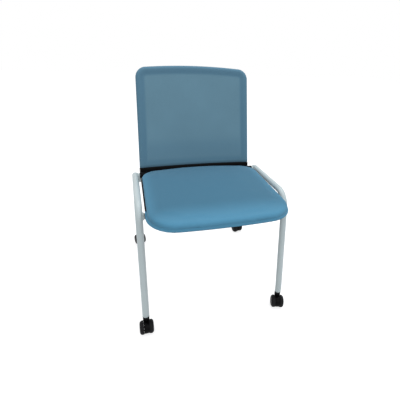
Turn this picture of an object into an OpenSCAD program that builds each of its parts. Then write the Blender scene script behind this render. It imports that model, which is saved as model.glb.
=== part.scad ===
// Nesting chair on four twin-wheel casters. Two bent side tubes carry a padded seat that swings up
// about its rear hinges, and a curved back with a knitted sleeve over a hidden loop.
// X runs to the right, Y to the rear and Z up. The origin is on the floor, under the middle.

/* [Side frames] */
// Outer diameter of the side tubes
tube_d = 22; // [20:0.5:26]
// Wall of the side tubes at their ends
tube_wall = 2; // [1.5:0.1:3]
// Gap between the seat and the side tube on each side
seat_side_gap = 7; // [5:0.5:25]
// Length of the upright foot of each leg
foot_len = 18; // [16:1:50]
// Height of the front corner, where the lines of leg and rail meet, over the seat's front
front_corner_up = 4; // [-3:1:15]
// Distance of the front corner behind the front caster stem
front_corner_y = 57; // [45:1:75]
// Fall of the rail from the front corner to the rear corner, where it meets the rear leg's line
rail_fall = 20; // [14:1:24]
// How far the rear corner lies behind the straight line of the seat's rear
rear_corner_set = 16; // [13:1:25]
// How far the rear caster stems stand behind the rear corners
rear_spread = 142; // [117:1:175]
// Radius of the front bends, to the centre of the tube
front_bend_r = 54; // [45:1:65]
// Radius of the rear bends, to the centre of the tube
rear_bend_r = 54; // [50:1:58]
// Radius of the ankle bends, to the centre of the tube
ankle_bend_r = 44; // [36:1:60]
// Diameter of the tube that joins the rear legs
cross_d = 18; // [14:0.5:20]
// Wall of the tube that joins the rear legs
cross_wall = 1.5; // [1:0.1:2.5]
// Drop of the tube that joins the rear legs below the rear corners
cross_drop = 37; // [34:1:45]

/* [Seat] */
// Width of the seat shell
seat_w = 440; // [400:1:445]
// Depth of the seat shell between the ends of its front and rear bows
seat_d = 408; // [380:1:412]
// How far the front of the seat lies before the front caster stem
seat_reach = 71; // [55:1:90]
// Height of the seat's middle plane at its front
seat_front_z = 433; // [425:0.5:445]
// Fall of the seat's middle plane from its front to its rear
seat_fall = 8; // [5:0.5:10]
// Radius of the seat's front corners
seat_front_r = 88; // [60:1:110]
// Radius of the seat's rear corners
seat_rear_r = 68; // [50:1:90]
// Forward bow of the seat's front edge
seat_front_bow = 4; // [0:0.5:15]
// Rearward bow of the seat's rear edge
seat_rear_bow = 15; // [5:0.5:18]
// Depth of the shell's underside below the middle plane
shell_depth = 9.5; // [8.5:0.5:10.5]
// Height of the shell's rim
shell_rim_h = 5.5; // [5:0.1:7]
// Wall of the seat shell's floor
shell_wall = 2.2; // [1.8:0.1:2.5]
// Width of the shell's rim, which the pad's edge lies on
shell_rim_w = 8.5; // [4:0.5:12]
// Thickness of the seat board
board_t = 3; // [2:0.1:3]
// Height of the pad's edge above the middle plane
pad_rise = 16; // [12:0.5:18]
// Extra height of the pad's middle over its edge
pad_crown = 5; // [2:0.5:7]
// How far the pad's sides stand inside the shell
pad_side_in = 1.5; // [1:0.5:6]
// How far the pad's front and rear reach past the shell
pad_over = 1.5; // [0:0.5:3]
// How far the pad's sides draw in between the corners
pad_pull = 2; // [0:0.5:5]
// How much thinner the pad is at its rear edge
pad_rear_drop = 9.5; // [0:0.5:10]

/* [Seat hinge and rest] */
// How far the hinge line lies before the straight line of the seat's rear
hinge_in = 5.5; // [3:0.5:9]
// Drop of the hinge line below the middle plane of the seat's front
hinge_drop = 18; // [16:0.5:20]
// Diameter of the hinge pins
hinge_pin_d = 8; // [6:0.5:10]
// Diameter of the boss that carries each hinge pin
hinge_boss_d = 18; // [14:0.5:20]
// Outer diameter of the hinge ears
ear_d = 22; // [18:0.5:24]
// Distance of the rest pegs behind the front caster stem
rest_y = 55.5; // [50:0.5:60]
// Drop of the rest pegs below the middle plane of the seat's front
rest_drop = 25; // [24.5:0.5:30]
// Diameter of the steel rest pegs
rest_peg_d = 12; // [10:0.5:14]
// Outer diameter of the sleeves that the seat rests on
rest_sleeve_d = 18; // [16:0.5:20]

/* [Back] */
// How far the back's foot is drawn in from each side of the seat
back_side_in = 1; // [0:0.5:10]
// How far each side of the back draws in from its foot to its top
back_taper = 6; // [0:0.5:15]
// Height of the fabric along the back, at its sides
back_h = 368; // [320:1:400]
// Rise of the top edge's middle over its ends
back_crown = 8.4; // [0:0.2:14]
// Radius of the top corners
back_corner_r = 40; // [30:1:60]
// Depth of the back's curve from side to side
back_sag = 20; // [12:0.5:26]
// Lean of the back from upright
back_lean = 12.4; // [8:0.2:14]
// Distance of the back's foot behind the tube that joins the rear legs, at its middle
back_set = 22.3; // [21:0.1:24]
// Drop of the fabric's lower edge below the middle plane of the seat's front
back_foot_drop = 8; // [4:0.5:12]
// Thickness of the sleeved back
back_t = 20; // [18:0.5:22]
// Diameter of the hidden loop
loop_d = 15.6; // [13:0.2:16]
// Thickness of the knitted sleeve
sleeve_t = 1.6; // [1:0.1:2]
// Height of the black rail below the fabric
rail_h = 31; // [28:0.5:34]
// Thickness of the black rail
rail_t = 21; // [20.5:0.5:23]

/* [Casters] */
// Diameter of the wheels
wheel_d = 44; // [40:0.5:50]
// Width of one wheel
wheel_w = 13.5; // [12:0.5:16]
// Width of the caster body between the wheels
fork_w = 17.5; // [16:0.5:21]
// Offset of the axle from the swivel line
trail = 12; // [8:0.5:14]
// Thickness of the tread
tread_t = 3; // [2:0.1:4]
// Diameter of the axle
axle_d = 6; // [5:0.5:8]
// Diameter of the swivel stem
stem_d = 8; // [7:0.5:10]
// Height of the caster body's neck over the wheels
caster_neck_h = 12; // [10:0.5:14]
// Height of the tube ends over the caster bodies
foot_gap = 6; // [4:0.5:15]

/* [Clearances] */
// Radial clearance of pins and axles in their bores
running_gap = 0.05; // [0.03:0.01:0.08]
// Gap between fixed pieces that touch
seat_gap = 0.15; // [0.1:0.05:0.25]
// Gap between pieces that move past each other
moving_gap = 0.5; // [0.4:0.1:0.8]
// Gap between the seat and the rest it comes down on
contact_gap = 0.3; // [0.2:0.05:0.4]

/* [Hidden] */
$fn = 48;

// One overrun for every cut
overrun = 2;

// Where each caster points at rest, turned about its stem
front_left_turn = 0;
front_right_turn = -16;
rear_turn = 14;

// Heights and distances that follow from the sizes above
caster_top_z = wheel_d + caster_neck_h;
tube_end_z = caster_top_z + foot_gap;
ankle_z = tube_end_z + foot_len;
front_corner_z = seat_front_z + front_corner_up;
rear_corner_z = front_corner_z - rail_fall;
cross_z = rear_corner_z - cross_drop;
hinge_z = seat_front_z - hinge_drop;
rest_z = seat_front_z - rest_drop;
back_foot_z = seat_front_z - back_foot_drop;
seat_rear_y = seat_d - seat_reach;
rear_corner_y = seat_rear_y + rear_corner_set;
wheelbase = rear_corner_y + rear_spread;
hinge_y = seat_rear_y - hinge_in;
frame_w = seat_w + 2 * seat_side_gap + tube_d;
back_foot_w = seat_w - 2 * back_side_in;
back_top_w = back_foot_w - 2 * back_taper;

caster_w = fork_w + 2 * (moving_gap + wheel_w);
rear_reach = max(
    (wheel_d / 2 - trail) * cos(rear_turn) + caster_w / 2 * abs(sin(rear_turn)),
    tube_d / 2
);
mid_y = (wheelbase + rear_reach - seat_reach - seat_front_bow - pad_over) / 2;

side_x = frame_w / 2;
inner_x = side_x - tube_d / 2;

// Bend points of a side tube, as [distance behind the front stem, height]
front_foot = [0, tube_end_z];
front_ankle = [0, ankle_z];
front_corner = [front_corner_y, front_corner_z];
rear_corner = [rear_corner_y, rear_corner_z];
rear_ankle = [wheelbase, ankle_z];
rear_foot = [wheelbase, tube_end_z];

cross_share = cross_drop / (rear_corner_z - ankle_z);
cross_y = rear_corner_y + rear_spread * cross_share;
back_foot_y = cross_y + back_set;

// Weld collars between the straight lengths and the bends of a side tube
seam_l = 0.8;
seam_step = 0.01;

// Plug and stem in each tube end
plug_h = 24;
plug_flange_h = tube_end_z - caster_top_z - moving_gap;
stem_up = 20;
stem_down = 18;
stem_end_gap = 1;

// Seat
seat_tilt = atan(seat_fall / seat_d);
board_low = -shell_depth + shell_wall + seat_gap;
pad_low = -shell_depth + shell_rim_h + seat_gap;
board_screw_w_share = 0.28;
board_screw_d_shares = [0.22, 0.68];
ear_gap = 0.4;
boss_len = 5;
boss_back = 7;
ear_out_x = inner_x - boss_len - ear_gap;
ear_reach = 71.6;
hinge_inner_x = ear_out_x - ear_reach;
ear_len = 24;
pin_in_x = ear_out_x - ear_len + seat_gap;
bush_wall = 2;
ear_foot_l = 46;
ear_foot_w = 26;
ear_foot_t = 5;
ear_arm_w = 24;
ear_screw_shares = [0.25, 0.75];
rest_boss_len = 5.4;
rest_boss_back = 2;
rest_cone_d = 29;
rest_sleeve_len = 24;
saddle_len = 20;
saddle_w = 24;
saddle_edge = 4;

// Screws
screw_d = 5;
screw_head_d = 9;
screw_head_h = 3;

// Back: radius of its curve, and the seats of its loop in the rail
half_foot_w = back_foot_w / 2;
back_r = (half_foot_w * half_foot_w + back_sag * back_sag) / (2 * back_sag);
loop_in = back_t / 2;
rail_gap = 0.3;
socket_h = 20;
socket_gap = 0.5;
post_in = 109;
post_x = half_foot_w - post_in;
post_w = 34;
post_t = 5;
post_up = 7;
post_run = (back_foot_z - cross_z) / cos(back_lean);
post_screw_x = 9;
post_screw_v = 17;
post_head_in = 1;
post_screw_end = 4;

// Caster body
wheel_r = wheel_d / 2;
hood_in = 1.5;
hood_r = wheel_r - hood_in;
hood_low_z = 5;
neck_d = 21;
hub_d = 14;
rim_in = 4;
hub_recess = 3;
hub_cap_t = 3.5;
hub_bore = wheel_w - hub_cap_t;
axle_end_gap = 0.5;
dish_t = 1;
tread_round = 2;
dome_r_share = 0.59;
dome_w_share = 0.37;
dome_r = dome_r_share * wheel_r;
dome_w = dome_w_share * wheel_w;
dome_steps = 5;

corner_steps = 7;
edge_steps = 5;

frame_color = [0.78, 0.81, 0.80];
black_color = [0.06, 0.06, 0.065];
seat_color = [0.31, 0.51, 0.63];
knit_color = [0.36, 0.49, 0.57];
steel_color = [0.62, 0.63, 0.64];
board_color = [0.72, 0.58, 0.40];
tread_color = [0.12, 0.12, 0.125];

function unit(v) = v / norm(v);

// Length that a bend of radius r takes off each of the lines a-b and b-c
function bend_cut(a, b, c, r) =
    let (u = unit(a - b), w = unit(c - b))
    r * sqrt((1 + u * w) / (1 - u * w));

// Centre of the bend at b
function bend_centre(a, b, c, r) =
    let (u = unit(a - b), w = unit(c - b))
    b + unit(u + w) * r / sqrt((1 - u * w) / 2);

// A round bar from p to q in the plane of a side frame, where points are [y, z]
module bar(p, q, d) {
    run = q - p;
    translate([0, p[0], p[1]])
        rotate([-atan2(run[0], run[1]), 0, 0])
            cylinder(h = norm(run), d = d);
}

// A round bend at b between the lines a-b and b-c
module bend(a, b, c, r, d) {
    u = unit(a - b);
    w = unit(c - b);
    centre = bend_centre(a, b, c, r);
    from_a = b + u * bend_cut(a, b, c, r) - centre;
    from_c = b + w * bend_cut(a, b, c, r) - centre;
    sweep = atan2(from_a[0] * from_c[1] - from_a[1] * from_c[0], from_a * from_c);
    first = sweep > 0 ? from_a : from_c;
    translate([0, centre[0], centre[1]])
        rotate([90, 0, 90])
            rotate([0, 0, atan2(first[1], first[0])])
                rotate_extrude(angle = abs(sweep))
                    translate([r, 0])
                        circle(d = d);
}

// A hair-thin weld collar that joins a straight length to a bend at p
module seam(p, along) {
    bar(p - along * seam_l / 2, p + along * seam_l / 2, tube_d + 2 * seam_step);
}

// One side tube as a solid bar, drawn in the plane x = 0
module side_line() {
    d = tube_d;
    ankle_cut_f = bend_cut(front_foot, front_ankle, front_corner, ankle_bend_r);
    ankle_cut_r = bend_cut(rear_foot, rear_ankle, rear_corner, ankle_bend_r);
    front_cut = bend_cut(front_ankle, front_corner, rear_corner, front_bend_r);
    rear_cut = bend_cut(front_corner, rear_corner, rear_ankle, rear_bend_r);
    leg_f = unit(front_corner - front_ankle);
    rail = unit(rear_corner - front_corner);
    leg_r = unit(rear_ankle - rear_corner);
    bar(front_foot, front_ankle - [0, ankle_cut_f], d);
    bend(front_foot, front_ankle, front_corner, ankle_bend_r, d);
    bar(front_ankle + leg_f * ankle_cut_f, front_corner - leg_f * front_cut, d);
    bend(front_ankle, front_corner, rear_corner, front_bend_r, d);
    bar(front_corner + rail * front_cut, rear_corner - rail * rear_cut, d);
    bend(front_corner, rear_corner, rear_ankle, rear_bend_r, d);
    bar(rear_corner + leg_r * rear_cut, rear_ankle - leg_r * ankle_cut_r, d);
    bend(rear_corner, rear_ankle, rear_foot, ankle_bend_r, d);
    bar(rear_ankle - [0, ankle_cut_r], rear_foot, d);
    seam(front_ankle - [0, ankle_cut_f], [0, 1]);
    seam(front_ankle + leg_f * ankle_cut_f, leg_f);
    seam(front_corner - leg_f * front_cut, leg_f);
    seam(front_corner + rail * front_cut, rail);
    seam(rear_corner - rail * rear_cut, rail);
    seam(rear_corner + leg_r * rear_cut, leg_r);
    seam(rear_ankle - leg_r * ankle_cut_r, leg_r);
    seam(rear_ankle - [0, ankle_cut_r], [0, -1]);
}

// Puts a child that is drawn in the plane x = 0 on the right (1) or left (-1) side frame
module on_side(side) {
    translate([side * side_x, -mid_y, 0]) children();
}

module side_tube(side) {
    color(frame_color)
        on_side(side)
            difference() {
                side_line();
                for (y = [0, wheelbase])
                    translate([0, y, tube_end_z - overrun])
                        cylinder(h = overrun + plug_h + stem_end_gap, d = tube_d - 2 * tube_wall);
            }
}

module rear_cross_tube() {
    color(frame_color)
        difference() {
            translate([-side_x, cross_y - mid_y, cross_z])
                rotate([0, 90, 0])
                    difference() {
                        cylinder(h = frame_w, d = cross_d);
                        translate([0, 0, -overrun])
                            cylinder(h = frame_w + 2 * overrun, d = cross_d - 2 * cross_wall);
                    }
            for (side = [-1, 1])
                on_side(side)
                    bar(rear_corner, rear_ankle, tube_d + 2 * seat_gap);
        }
}

// Lays a child that is drawn along +Z from z = 0 inward along X from the right side frame's plane
module inward(y, z, x) {
    translate([x, y - mid_y, z])
        rotate([0, -90, 0])
            children();
}

module mirrored(side) {
    if (side < 0) mirror([1, 0, 0]) children();
    else children();
}

module hinge_pin(side) {
    color(frame_color)
        mirrored(side)
            difference() {
                union() {
                    inward(hinge_y, hinge_z, inner_x + boss_back)
                        cylinder(h = boss_back + boss_len, d = hinge_boss_d);
                    inward(hinge_y, hinge_z, inner_x)
                        cylinder(h = inner_x - pin_in_x, d = hinge_pin_d);
                }
                on_side(1) bend(front_corner, rear_corner, rear_ankle, rear_bend_r, tube_d + 2 * seat_gap);
            }
}

module rest_peg(side) {
    color(frame_color)
        mirrored(side)
            difference() {
                union() {
                    inward(rest_y, rest_z, inner_x + rest_boss_back)
                        cylinder(h = rest_boss_back + rest_boss_len, d1 = rest_cone_d, d2 = rest_sleeve_d);
                    inward(rest_y, rest_z, inner_x)
                        cylinder(h = rest_boss_len + rest_sleeve_len, d = rest_peg_d);
                }
                on_side(1) bend(front_ankle, front_corner, rear_corner, front_bend_r, tube_d + 2 * seat_gap);
            }
}

module rest_sleeve(side) {
    color(black_color)
        mirrored(side)
            inward(rest_y, rest_z, inner_x - rest_boss_len - seat_gap)
                difference() {
                    cylinder(h = rest_sleeve_len - 2 * seat_gap, d = rest_sleeve_d);
                    translate([0, 0, -overrun])
                        cylinder(h = rest_sleeve_len + 2 * overrun, d = rest_peg_d + 2 * running_gap);
                }
}

// Tube-end plug with its flange, drawn on the swivel line
module leg_plug() {
    difference() {
        union() {
            translate([0, 0, tube_end_z - plug_flange_h])
                cylinder(h = plug_flange_h - seat_gap, d = tube_d);
            translate([0, 0, tube_end_z - plug_flange_h])
                cylinder(h = plug_flange_h + plug_h, d = tube_d - 2 * tube_wall - 2 * seat_gap);
        }
        translate([0, 0, tube_end_z - plug_flange_h - overrun])
            cylinder(h = plug_flange_h + overrun + stem_up + stem_end_gap, d = stem_d + 2 * running_gap);
    }
}

module caster_stem() {
    translate([0, 0, caster_top_z - stem_down])
        cylinder(h = stem_down + tube_end_z - caster_top_z + stem_up, d = stem_d);
}

// Repeats a child on the four swivel lines
module at_feet() {
    for (side = [-1, 1], y = [0, wheelbase])
        translate([side * side_x, y - mid_y, 0]) children();
}

module leg_plugs() {
    color(black_color) at_feet() leg_plug();
}

module caster_stems() {
    color(steel_color) at_feet() caster_stem();
}

// Outline of the seat, drawn in by side_in at the sides and end_in at the front and rear.
// Points are [x, distance behind the front edge], anticlockwise from the front middle.
function seat_bow(t, bow) = bow * (1 - t * t);

function seat_half(side_in, end_in) =
    let (
        fx = seat_w / 2 - seat_front_r,
        rx = seat_w / 2 - seat_rear_r,
        quarter = 90
    )
    concat(
        [for (i = [1 : edge_steps - 1])
            let (t = i / edge_steps)
            [fx * t, end_in - seat_bow(t, seat_front_bow)]],
        [for (i = [0 : corner_steps])
            let (a = -quarter + quarter * i / corner_steps)
            [fx + (seat_front_r - side_in) * cos(a), seat_front_r + (seat_front_r - end_in) * sin(a)]],
        [for (i = [0 : corner_steps])
            let (a = quarter * i / corner_steps)
            [rx + (seat_rear_r - side_in) * cos(a),
             seat_d - seat_rear_r + (seat_rear_r - end_in) * sin(a)]],
        [for (i = [1 : edge_steps - 1])
            let (t = 1 - i / edge_steps)
            [rx * t, seat_d - end_in + seat_bow(t, seat_rear_bow)]]
    );

function seat_ring(side_in, end_in) =
    let (half = seat_half(side_in, end_in), n = len(half))
    concat(
        [[0, end_in - seat_front_bow]],
        half,
        [[0, seat_d - end_in + seat_rear_bow]],
        [for (i = [n - 1 : -1 : 0]) [-half[i][0], half[i][1]]]
    );

// Puts a child that is drawn on the seat's middle plane, from its front edge, in its place
module on_seat() {
    translate([0, -seat_reach - mid_y, seat_front_z])
        rotate([-seat_tilt, 0, 0])
            children();
}

module seat_slab(inset, low, high) {
    translate([0, 0, low])
        linear_extrude(height = high - low)
            polygon(seat_ring(inset, inset));
}

// Where the hinge line lies on the seat's own plane
hinge_run = hinge_y + seat_reach;
hinge_on_y = hinge_run * cos(seat_tilt) + hinge_drop * sin(seat_tilt);
hinge_on_w = hinge_run * sin(seat_tilt) - hinge_drop * cos(seat_tilt);
shell_low = -shell_depth - seat_gap;

// Screw places on the seat, as [x, distance behind the front edge]
board_screws = [
    for (side = [-1, 1], share = board_screw_d_shares)
        [side * seat_w * board_screw_w_share, seat_d * share]
];
ear_screws = [
    for (side = [-1, 1], share = ear_screw_shares)
        [side * (hinge_inner_x - ear_foot_w / 2), hinge_on_y - ear_foot_l * share]
];
shell_screws = concat(board_screws, ear_screws);

module seat_shell() {
    color(black_color)
        on_seat()
            difference() {
                seat_slab(0, -shell_depth, -shell_depth + shell_rim_h);
                seat_slab(shell_rim_w, -shell_depth + shell_wall, -shell_depth + shell_rim_h + overrun);
                for (p = shell_screws)
                    translate([p[0], p[1], -shell_depth - overrun])
                        cylinder(h = shell_wall + 2 * overrun, d = screw_d + 2 * seat_gap);
            }
}

module seat_board() {
    color(board_color)
        on_seat()
            difference() {
                seat_slab(shell_rim_w + seat_gap, board_low, board_low + board_t);
                for (p = shell_screws)
                    translate([p[0], p[1], board_low - overrun])
                        cylinder(h = board_t + 2 * overrun, d = screw_d + 2 * seat_gap);
            }
}

// Levels of the pad's edge, as [share of the rounding, share of the rise]
pad_side_shares = [[0.25, 0], [0, 0.22], [0.02, 0.45], [0.16, 0.74], [0.45, 0.93], [1, 1]];
pad_round = 12;
pad_top_shares = [0.8, 0.6, 0.4, 0.2];

function pulled(ring) = [
    for (p = ring)
        let (t = (p[1] - seat_d / 2) / (seat_d / 2))
        [p[0] * (1 - 2 * pad_pull / seat_w * max(0, 1 - t * t)), p[1]]
];

function pad_ring(inset) = pulled(seat_ring(pad_side_in + inset, inset - pad_over));

pad_mid_y = seat_d / 2;
pad_rise_h = pad_rise - pad_low;

// Share of the pad's rise that is left at depth y, less towards the rear
function pad_left(y) =
    let (t = min(1, max(0, (y - pad_mid_y) / (seat_d / 2))))
    1 - pad_rear_drop / pad_rise_h * t * t;

function pad_rings() =
    let (inner = pad_ring(pad_round))
    concat(
        [[for (p = inner) [p[0], p[1], pad_low]]],
        [for (s = pad_side_shares)
            [for (p = pad_ring(pad_round * s[0]))
                [p[0], p[1], pad_low + pad_rise_h * s[1] * pad_left(p[1])]]],
        [for (s = pad_top_shares)
            [for (p = inner)
                let (y = pad_mid_y + (p[1] - pad_mid_y) * s)
                [p[0] * s, y, pad_low + pad_rise_h * pad_left(y) + pad_crown * (1 - s * s)]]]
    );

// Closes a stack of rings with a point at each end and makes it one solid
module ring_solid(rings, first, last) {
    n = len(rings[0]);
    m = len(rings);
    points = concat([first], [for (ring = rings, p = ring) p], [last]);
    faces = concat(
        [for (i = [0 : n - 1]) [0, 1 + i, 1 + (i + 1) % n]],
        [for (k = [0 : m - 2], i = [0 : n - 1])
            let (a = 1 + k * n + i, b = 1 + k * n + (i + 1) % n)
            [a, a + n, b]],
        [for (k = [0 : m - 2], i = [0 : n - 1])
            let (a = 1 + k * n + i, b = 1 + k * n + (i + 1) % n)
            [b, a + n, b + n]],
        [for (i = [0 : n - 1])
            let (a = 1 + (m - 1) * n + i, b = 1 + (m - 1) * n + (i + 1) % n)
            [a, 1 + m * n, b]]
    );
    polyhedron(points = points, faces = faces);
}

module seat_pad() {
    color(seat_color)
        on_seat()
            ring_solid(
                pad_rings(),
                [0, pad_mid_y, pad_low],
                [0, pad_mid_y, pad_rise + pad_crown]
            );
}

// Black ear under the rear corner of the shell, with the hinge pin's bush in it
module hinge_ear(side) {
    color(black_color)
        on_seat()
            mirrored(side)
                difference() {
                    union() {
                        translate([ear_out_x, hinge_on_y, hinge_on_w])
                            rotate([0, -90, 0])
                                cylinder(h = ear_out_x - hinge_inner_x, d = ear_d);
                        translate([
                            hinge_inner_x - ear_foot_w, hinge_on_y - ear_foot_l, shell_low - ear_foot_t
                        ])
                            cube([ear_foot_w + ear_arm_w, ear_foot_l, ear_foot_t]);
                    }
                    translate([0, 0, shell_low])
                        linear_extrude(height = ear_d)
                            polygon(seat_ring(-seat_gap, -pad_over - seat_gap));
                    translate([ear_out_x + overrun, hinge_on_y, hinge_on_w])
                        rotate([0, -90, 0])
                            cylinder(
                                h = ear_len + overrun + stem_end_gap,
                                d = hinge_pin_d + 2 * bush_wall + 2 * seat_gap
                            );
                    for (p = ear_screws)
                        translate([p[0], p[1], shell_low - ear_foot_t - overrun])
                            cylinder(h = ear_foot_t + 2 * overrun, d = screw_d + 2 * seat_gap);
                }
}

module hinge_bush(side) {
    color(black_color)
        on_seat()
            mirrored(side)
                translate([ear_out_x, hinge_on_y, hinge_on_w])
                    rotate([0, -90, 0])
                        difference() {
                            cylinder(h = ear_len, d = hinge_pin_d + 2 * bush_wall);
                            translate([0, 0, -overrun])
                                cylinder(h = ear_len + 2 * overrun, d = hinge_pin_d + 2 * running_gap);
                        }
}

// Where the rest pegs lie on the seat's own plane
rest_run = rest_y + seat_reach;
rest_on_y = rest_run * cos(seat_tilt) + rest_drop * sin(seat_tilt);
rest_on_w = rest_run * sin(seat_tilt) - rest_drop * cos(seat_tilt);
saddle_x = seat_w / 2 - saddle_edge - saddle_len;

// Block under the shell's side that comes down on the rest sleeve
module rest_saddle(side) {
    low = rest_on_w + rest_sleeve_d / 2 + contact_gap;
    color(black_color)
        on_seat()
            mirrored(side)
                translate([saddle_x, rest_on_y - saddle_w / 2, low])
                    cube([saddle_len, saddle_w, shell_low - low]);
}

module pan_screw(grip, d, head_d, head_h) {
    cylinder(h = grip, d = d);
    translate([0, 0, -head_h]) cylinder(h = head_h, d = head_d);
}

module seat_screws() {
    color(steel_color)
        on_seat() {
            for (p = board_screws)
                translate([p[0], p[1], -shell_depth - seat_gap])
                    pan_screw(shell_wall + board_t, screw_d, screw_head_d, screw_head_h);
            for (p = ear_screws)
                translate([p[0], p[1], shell_low - ear_foot_t - seat_gap])
                    pan_screw(ear_foot_t + shell_wall + board_t, screw_d, screw_head_d, screw_head_h);
        }
}

// The back is drawn with its foot at z = 0, its curve across x, and +Y to the rear
module on_back() {
    translate([0, back_foot_y - mid_y, back_foot_z])
        rotate([-back_lean, 0, 0])
            children();
}

// A point of the back at x across and v up, set off to the rear by off
function back_point(x, v, off) =
    let (s = x / back_r, c = sqrt(1 - s * s))
    [x + off * s, back_r * (c - 1) + off * c, v];

// Outline of the back from the foot on the right, over the top, to the foot on the left,
// drawn in by inset. Points are [x, height].
side_steps = 4;

function back_half(inset, foot_v) =
    let (
        tx = back_top_w / 2 - back_corner_r,
        tv = back_h - back_corner_r,
        r = back_corner_r - inset,
        foot = back_foot_w / 2 - inset,
        quarter = 90
    )
    concat(
        [for (i = [0 : side_steps - 1])
            let (t = i / side_steps)
            [foot + (tx + r - foot) * t, foot_v + (tv - foot_v) * t]],
        [for (i = [0 : corner_steps])
            let (a = quarter * i / corner_steps)
            [tx + r * cos(a), tv + r * sin(a)]],
        [for (i = [1 : edge_steps - 1])
            let (t = 1 - i / edge_steps)
            [tx * t, back_h - inset + back_crown * (1 - t * t)]]
    );

function back_arch(inset, foot_v) =
    let (half = back_half(inset, foot_v), n = len(half))
    concat(
        half,
        [[0, back_h - inset + back_crown]],
        [for (i = [n - 1 : -1 : 0]) [-half[i][0], half[i][1]]]
    );

foot_steps = 8;

function back_ring(inset, foot_v) =
    let (foot = back_foot_w / 2 - inset)
    concat(
        back_arch(inset, foot_v),
        [for (i = [1 : foot_steps - 1]) [-foot + 2 * foot * i / foot_steps, foot_v]]
    );

round_steps = 6;
skin_shares = [0.75, 0.5, 0.25];

// A pillow of thickness t that follows the back's curve, with full round sides and top
function pillow_rings(inset, t, foot_v) =
    let (r = t / 2, half_turn = 180, quarter = 90, mid = back_h / 2, inner = back_ring(inset + r, foot_v))
    concat(
        [for (i = [len(skin_shares) - 1 : -1 : 0])
            [for (p = inner)
                back_point(p[0] * skin_shares[i], mid + (p[1] - mid) * skin_shares[i], r)]],
        [for (k = [0 : round_steps])
            let (a = quarter - half_turn * k / round_steps)
            [for (p = back_ring(inset + r * (1 - cos(a)), foot_v)) back_point(p[0], p[1], r * sin(a))]],
        [for (s = skin_shares)
            [for (p = inner) back_point(p[0] * s, mid + (p[1] - mid) * s, -r)]]
    );

module pillow(inset, t, foot_v) {
    ring_solid(
        pillow_rings(inset, t, foot_v),
        back_point(0, back_h / 2, t / 2),
        back_point(0, back_h / 2, -t / 2)
    );
}

module back_sleeve() {
    color(knit_color)
        on_back()
            difference() {
                pillow(0, back_t, 0);
                pillow(sleeve_t, back_t - 2 * sleeve_t, -back_t);
            }
}

loop_sides = 12;

// The loop's middle line lies half the back's thickness inside its outline
loop_line = back_arch(loop_in, 0);

function loop_ring(i) =
    let (
        n = len(loop_line),
        p = loop_line[i],
        ahead = unit(loop_line[min(i + 1, n - 1)] - loop_line[max(i - 1, 0)]),
        out = [ahead[1], -ahead[0]],
        foot = i == 0 || i == n - 1,
        v = foot ? -socket_h : p[1]
    )
    [for (k = [0 : loop_sides - 1])
        let (a = 360 * k / loop_sides, r = loop_d / 2)
        back_point(
            p[0] + (foot ? sign(p[0]) : out[0]) * r * cos(a),
            v + (foot ? 0 : out[1]) * r * cos(a),
            r * sin(a)
        )];

module back_loop() {
    n = len(loop_line);
    color(black_color)
        on_back()
            ring_solid(
                [for (i = [0 : n - 1]) loop_ring(i)],
                back_point(loop_line[0][0], -socket_h, 0),
                back_point(loop_line[n - 1][0], -socket_h, 0)
            );
}

// A curved bar between two heights, t thick, as wide as the back's foot
module curved_bar(low, high, t) {
    intersection() {
        translate([0, -back_r, low])
            difference() {
                cylinder(h = high - low, r = back_r + t / 2, $fn = 360);
                translate([0, 0, -overrun])
                    cylinder(h = high - low + 2 * overrun, r = back_r - t / 2, $fn = 360);
            }
        translate([-back_foot_w / 2, -2 * back_sag - t, low])
            cube([back_foot_w, 2 * back_sag + 2 * t, high - low]);
    }
}

post_n = back_point(post_x, 0, 0)[1];

// A flat steel post, grown by gap on each side
module post_plate(gap) {
    translate([post_x - post_w / 2 - gap, post_n - post_t / 2 - gap, -post_run])
        cube([post_w + 2 * gap, post_t + 2 * gap, post_run - post_up + gap]);
}

// Blind holes from the rear, each with a flat seat for its screw head
module post_holes() {
    for (dx = [-post_screw_x, post_screw_x])
        translate([post_x + dx, post_n + rail_t, -post_screw_v])
            rotate([90, 0, 0]) {
                cylinder(h = 1.5 * rail_t - post_screw_end, d = screw_d + 2 * seat_gap);
                cylinder(h = 0.5 * rail_t + post_head_in, d = screw_head_d + 2 * moving_gap);
            }
}

module back_rail() {
    socket_x = loop_line[0][0];
    color(black_color)
        on_back()
            difference() {
                curved_bar(-rail_h, -rail_gap, rail_t);
                for (side = [-1, 1])
                    mirrored(side) {
                        post_plate(seat_gap);
                        post_holes();
                        translate(back_point(socket_x, -socket_h - seat_gap, 0))
                            cylinder(h = socket_h + overrun, d = loop_d + 2 * socket_gap);
                    }
            }
}

module back_post(side) {
    color(frame_color)
        mirrored(side)
            difference() {
                on_back()
                    difference() {
                        post_plate(0);
                        post_holes();
                    }
                translate([0, cross_y - mid_y, cross_z])
                    rotate([0, 90, 0])
                        cylinder(h = side_x, d = cross_d + 2 * seat_gap);
            }
}

module back_screws() {
    grip = rail_t - post_head_in - post_screw_end;
    color(steel_color)
        on_back()
            for (side = [-1, 1], dx = [-post_screw_x, post_screw_x])
                mirrored(side)
                    translate([post_x + dx, post_n + rail_t / 2 - post_head_in + seat_gap, -post_screw_v])
                        rotate([90, 0, 0])
                            pan_screw(grip, screw_d, screw_head_d, screw_head_h);
}

// Caster pieces are drawn on the swivel line, with the axle set off towards -Y
module at_caster(side, y, turn) {
    translate([side * side_x, y - mid_y, 0])
        rotate([0, 0, turn])
            children();
}

module on_axle() {
    translate([0, -trail, wheel_r])
        rotate([0, 90, 0])
            children();
}

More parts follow.
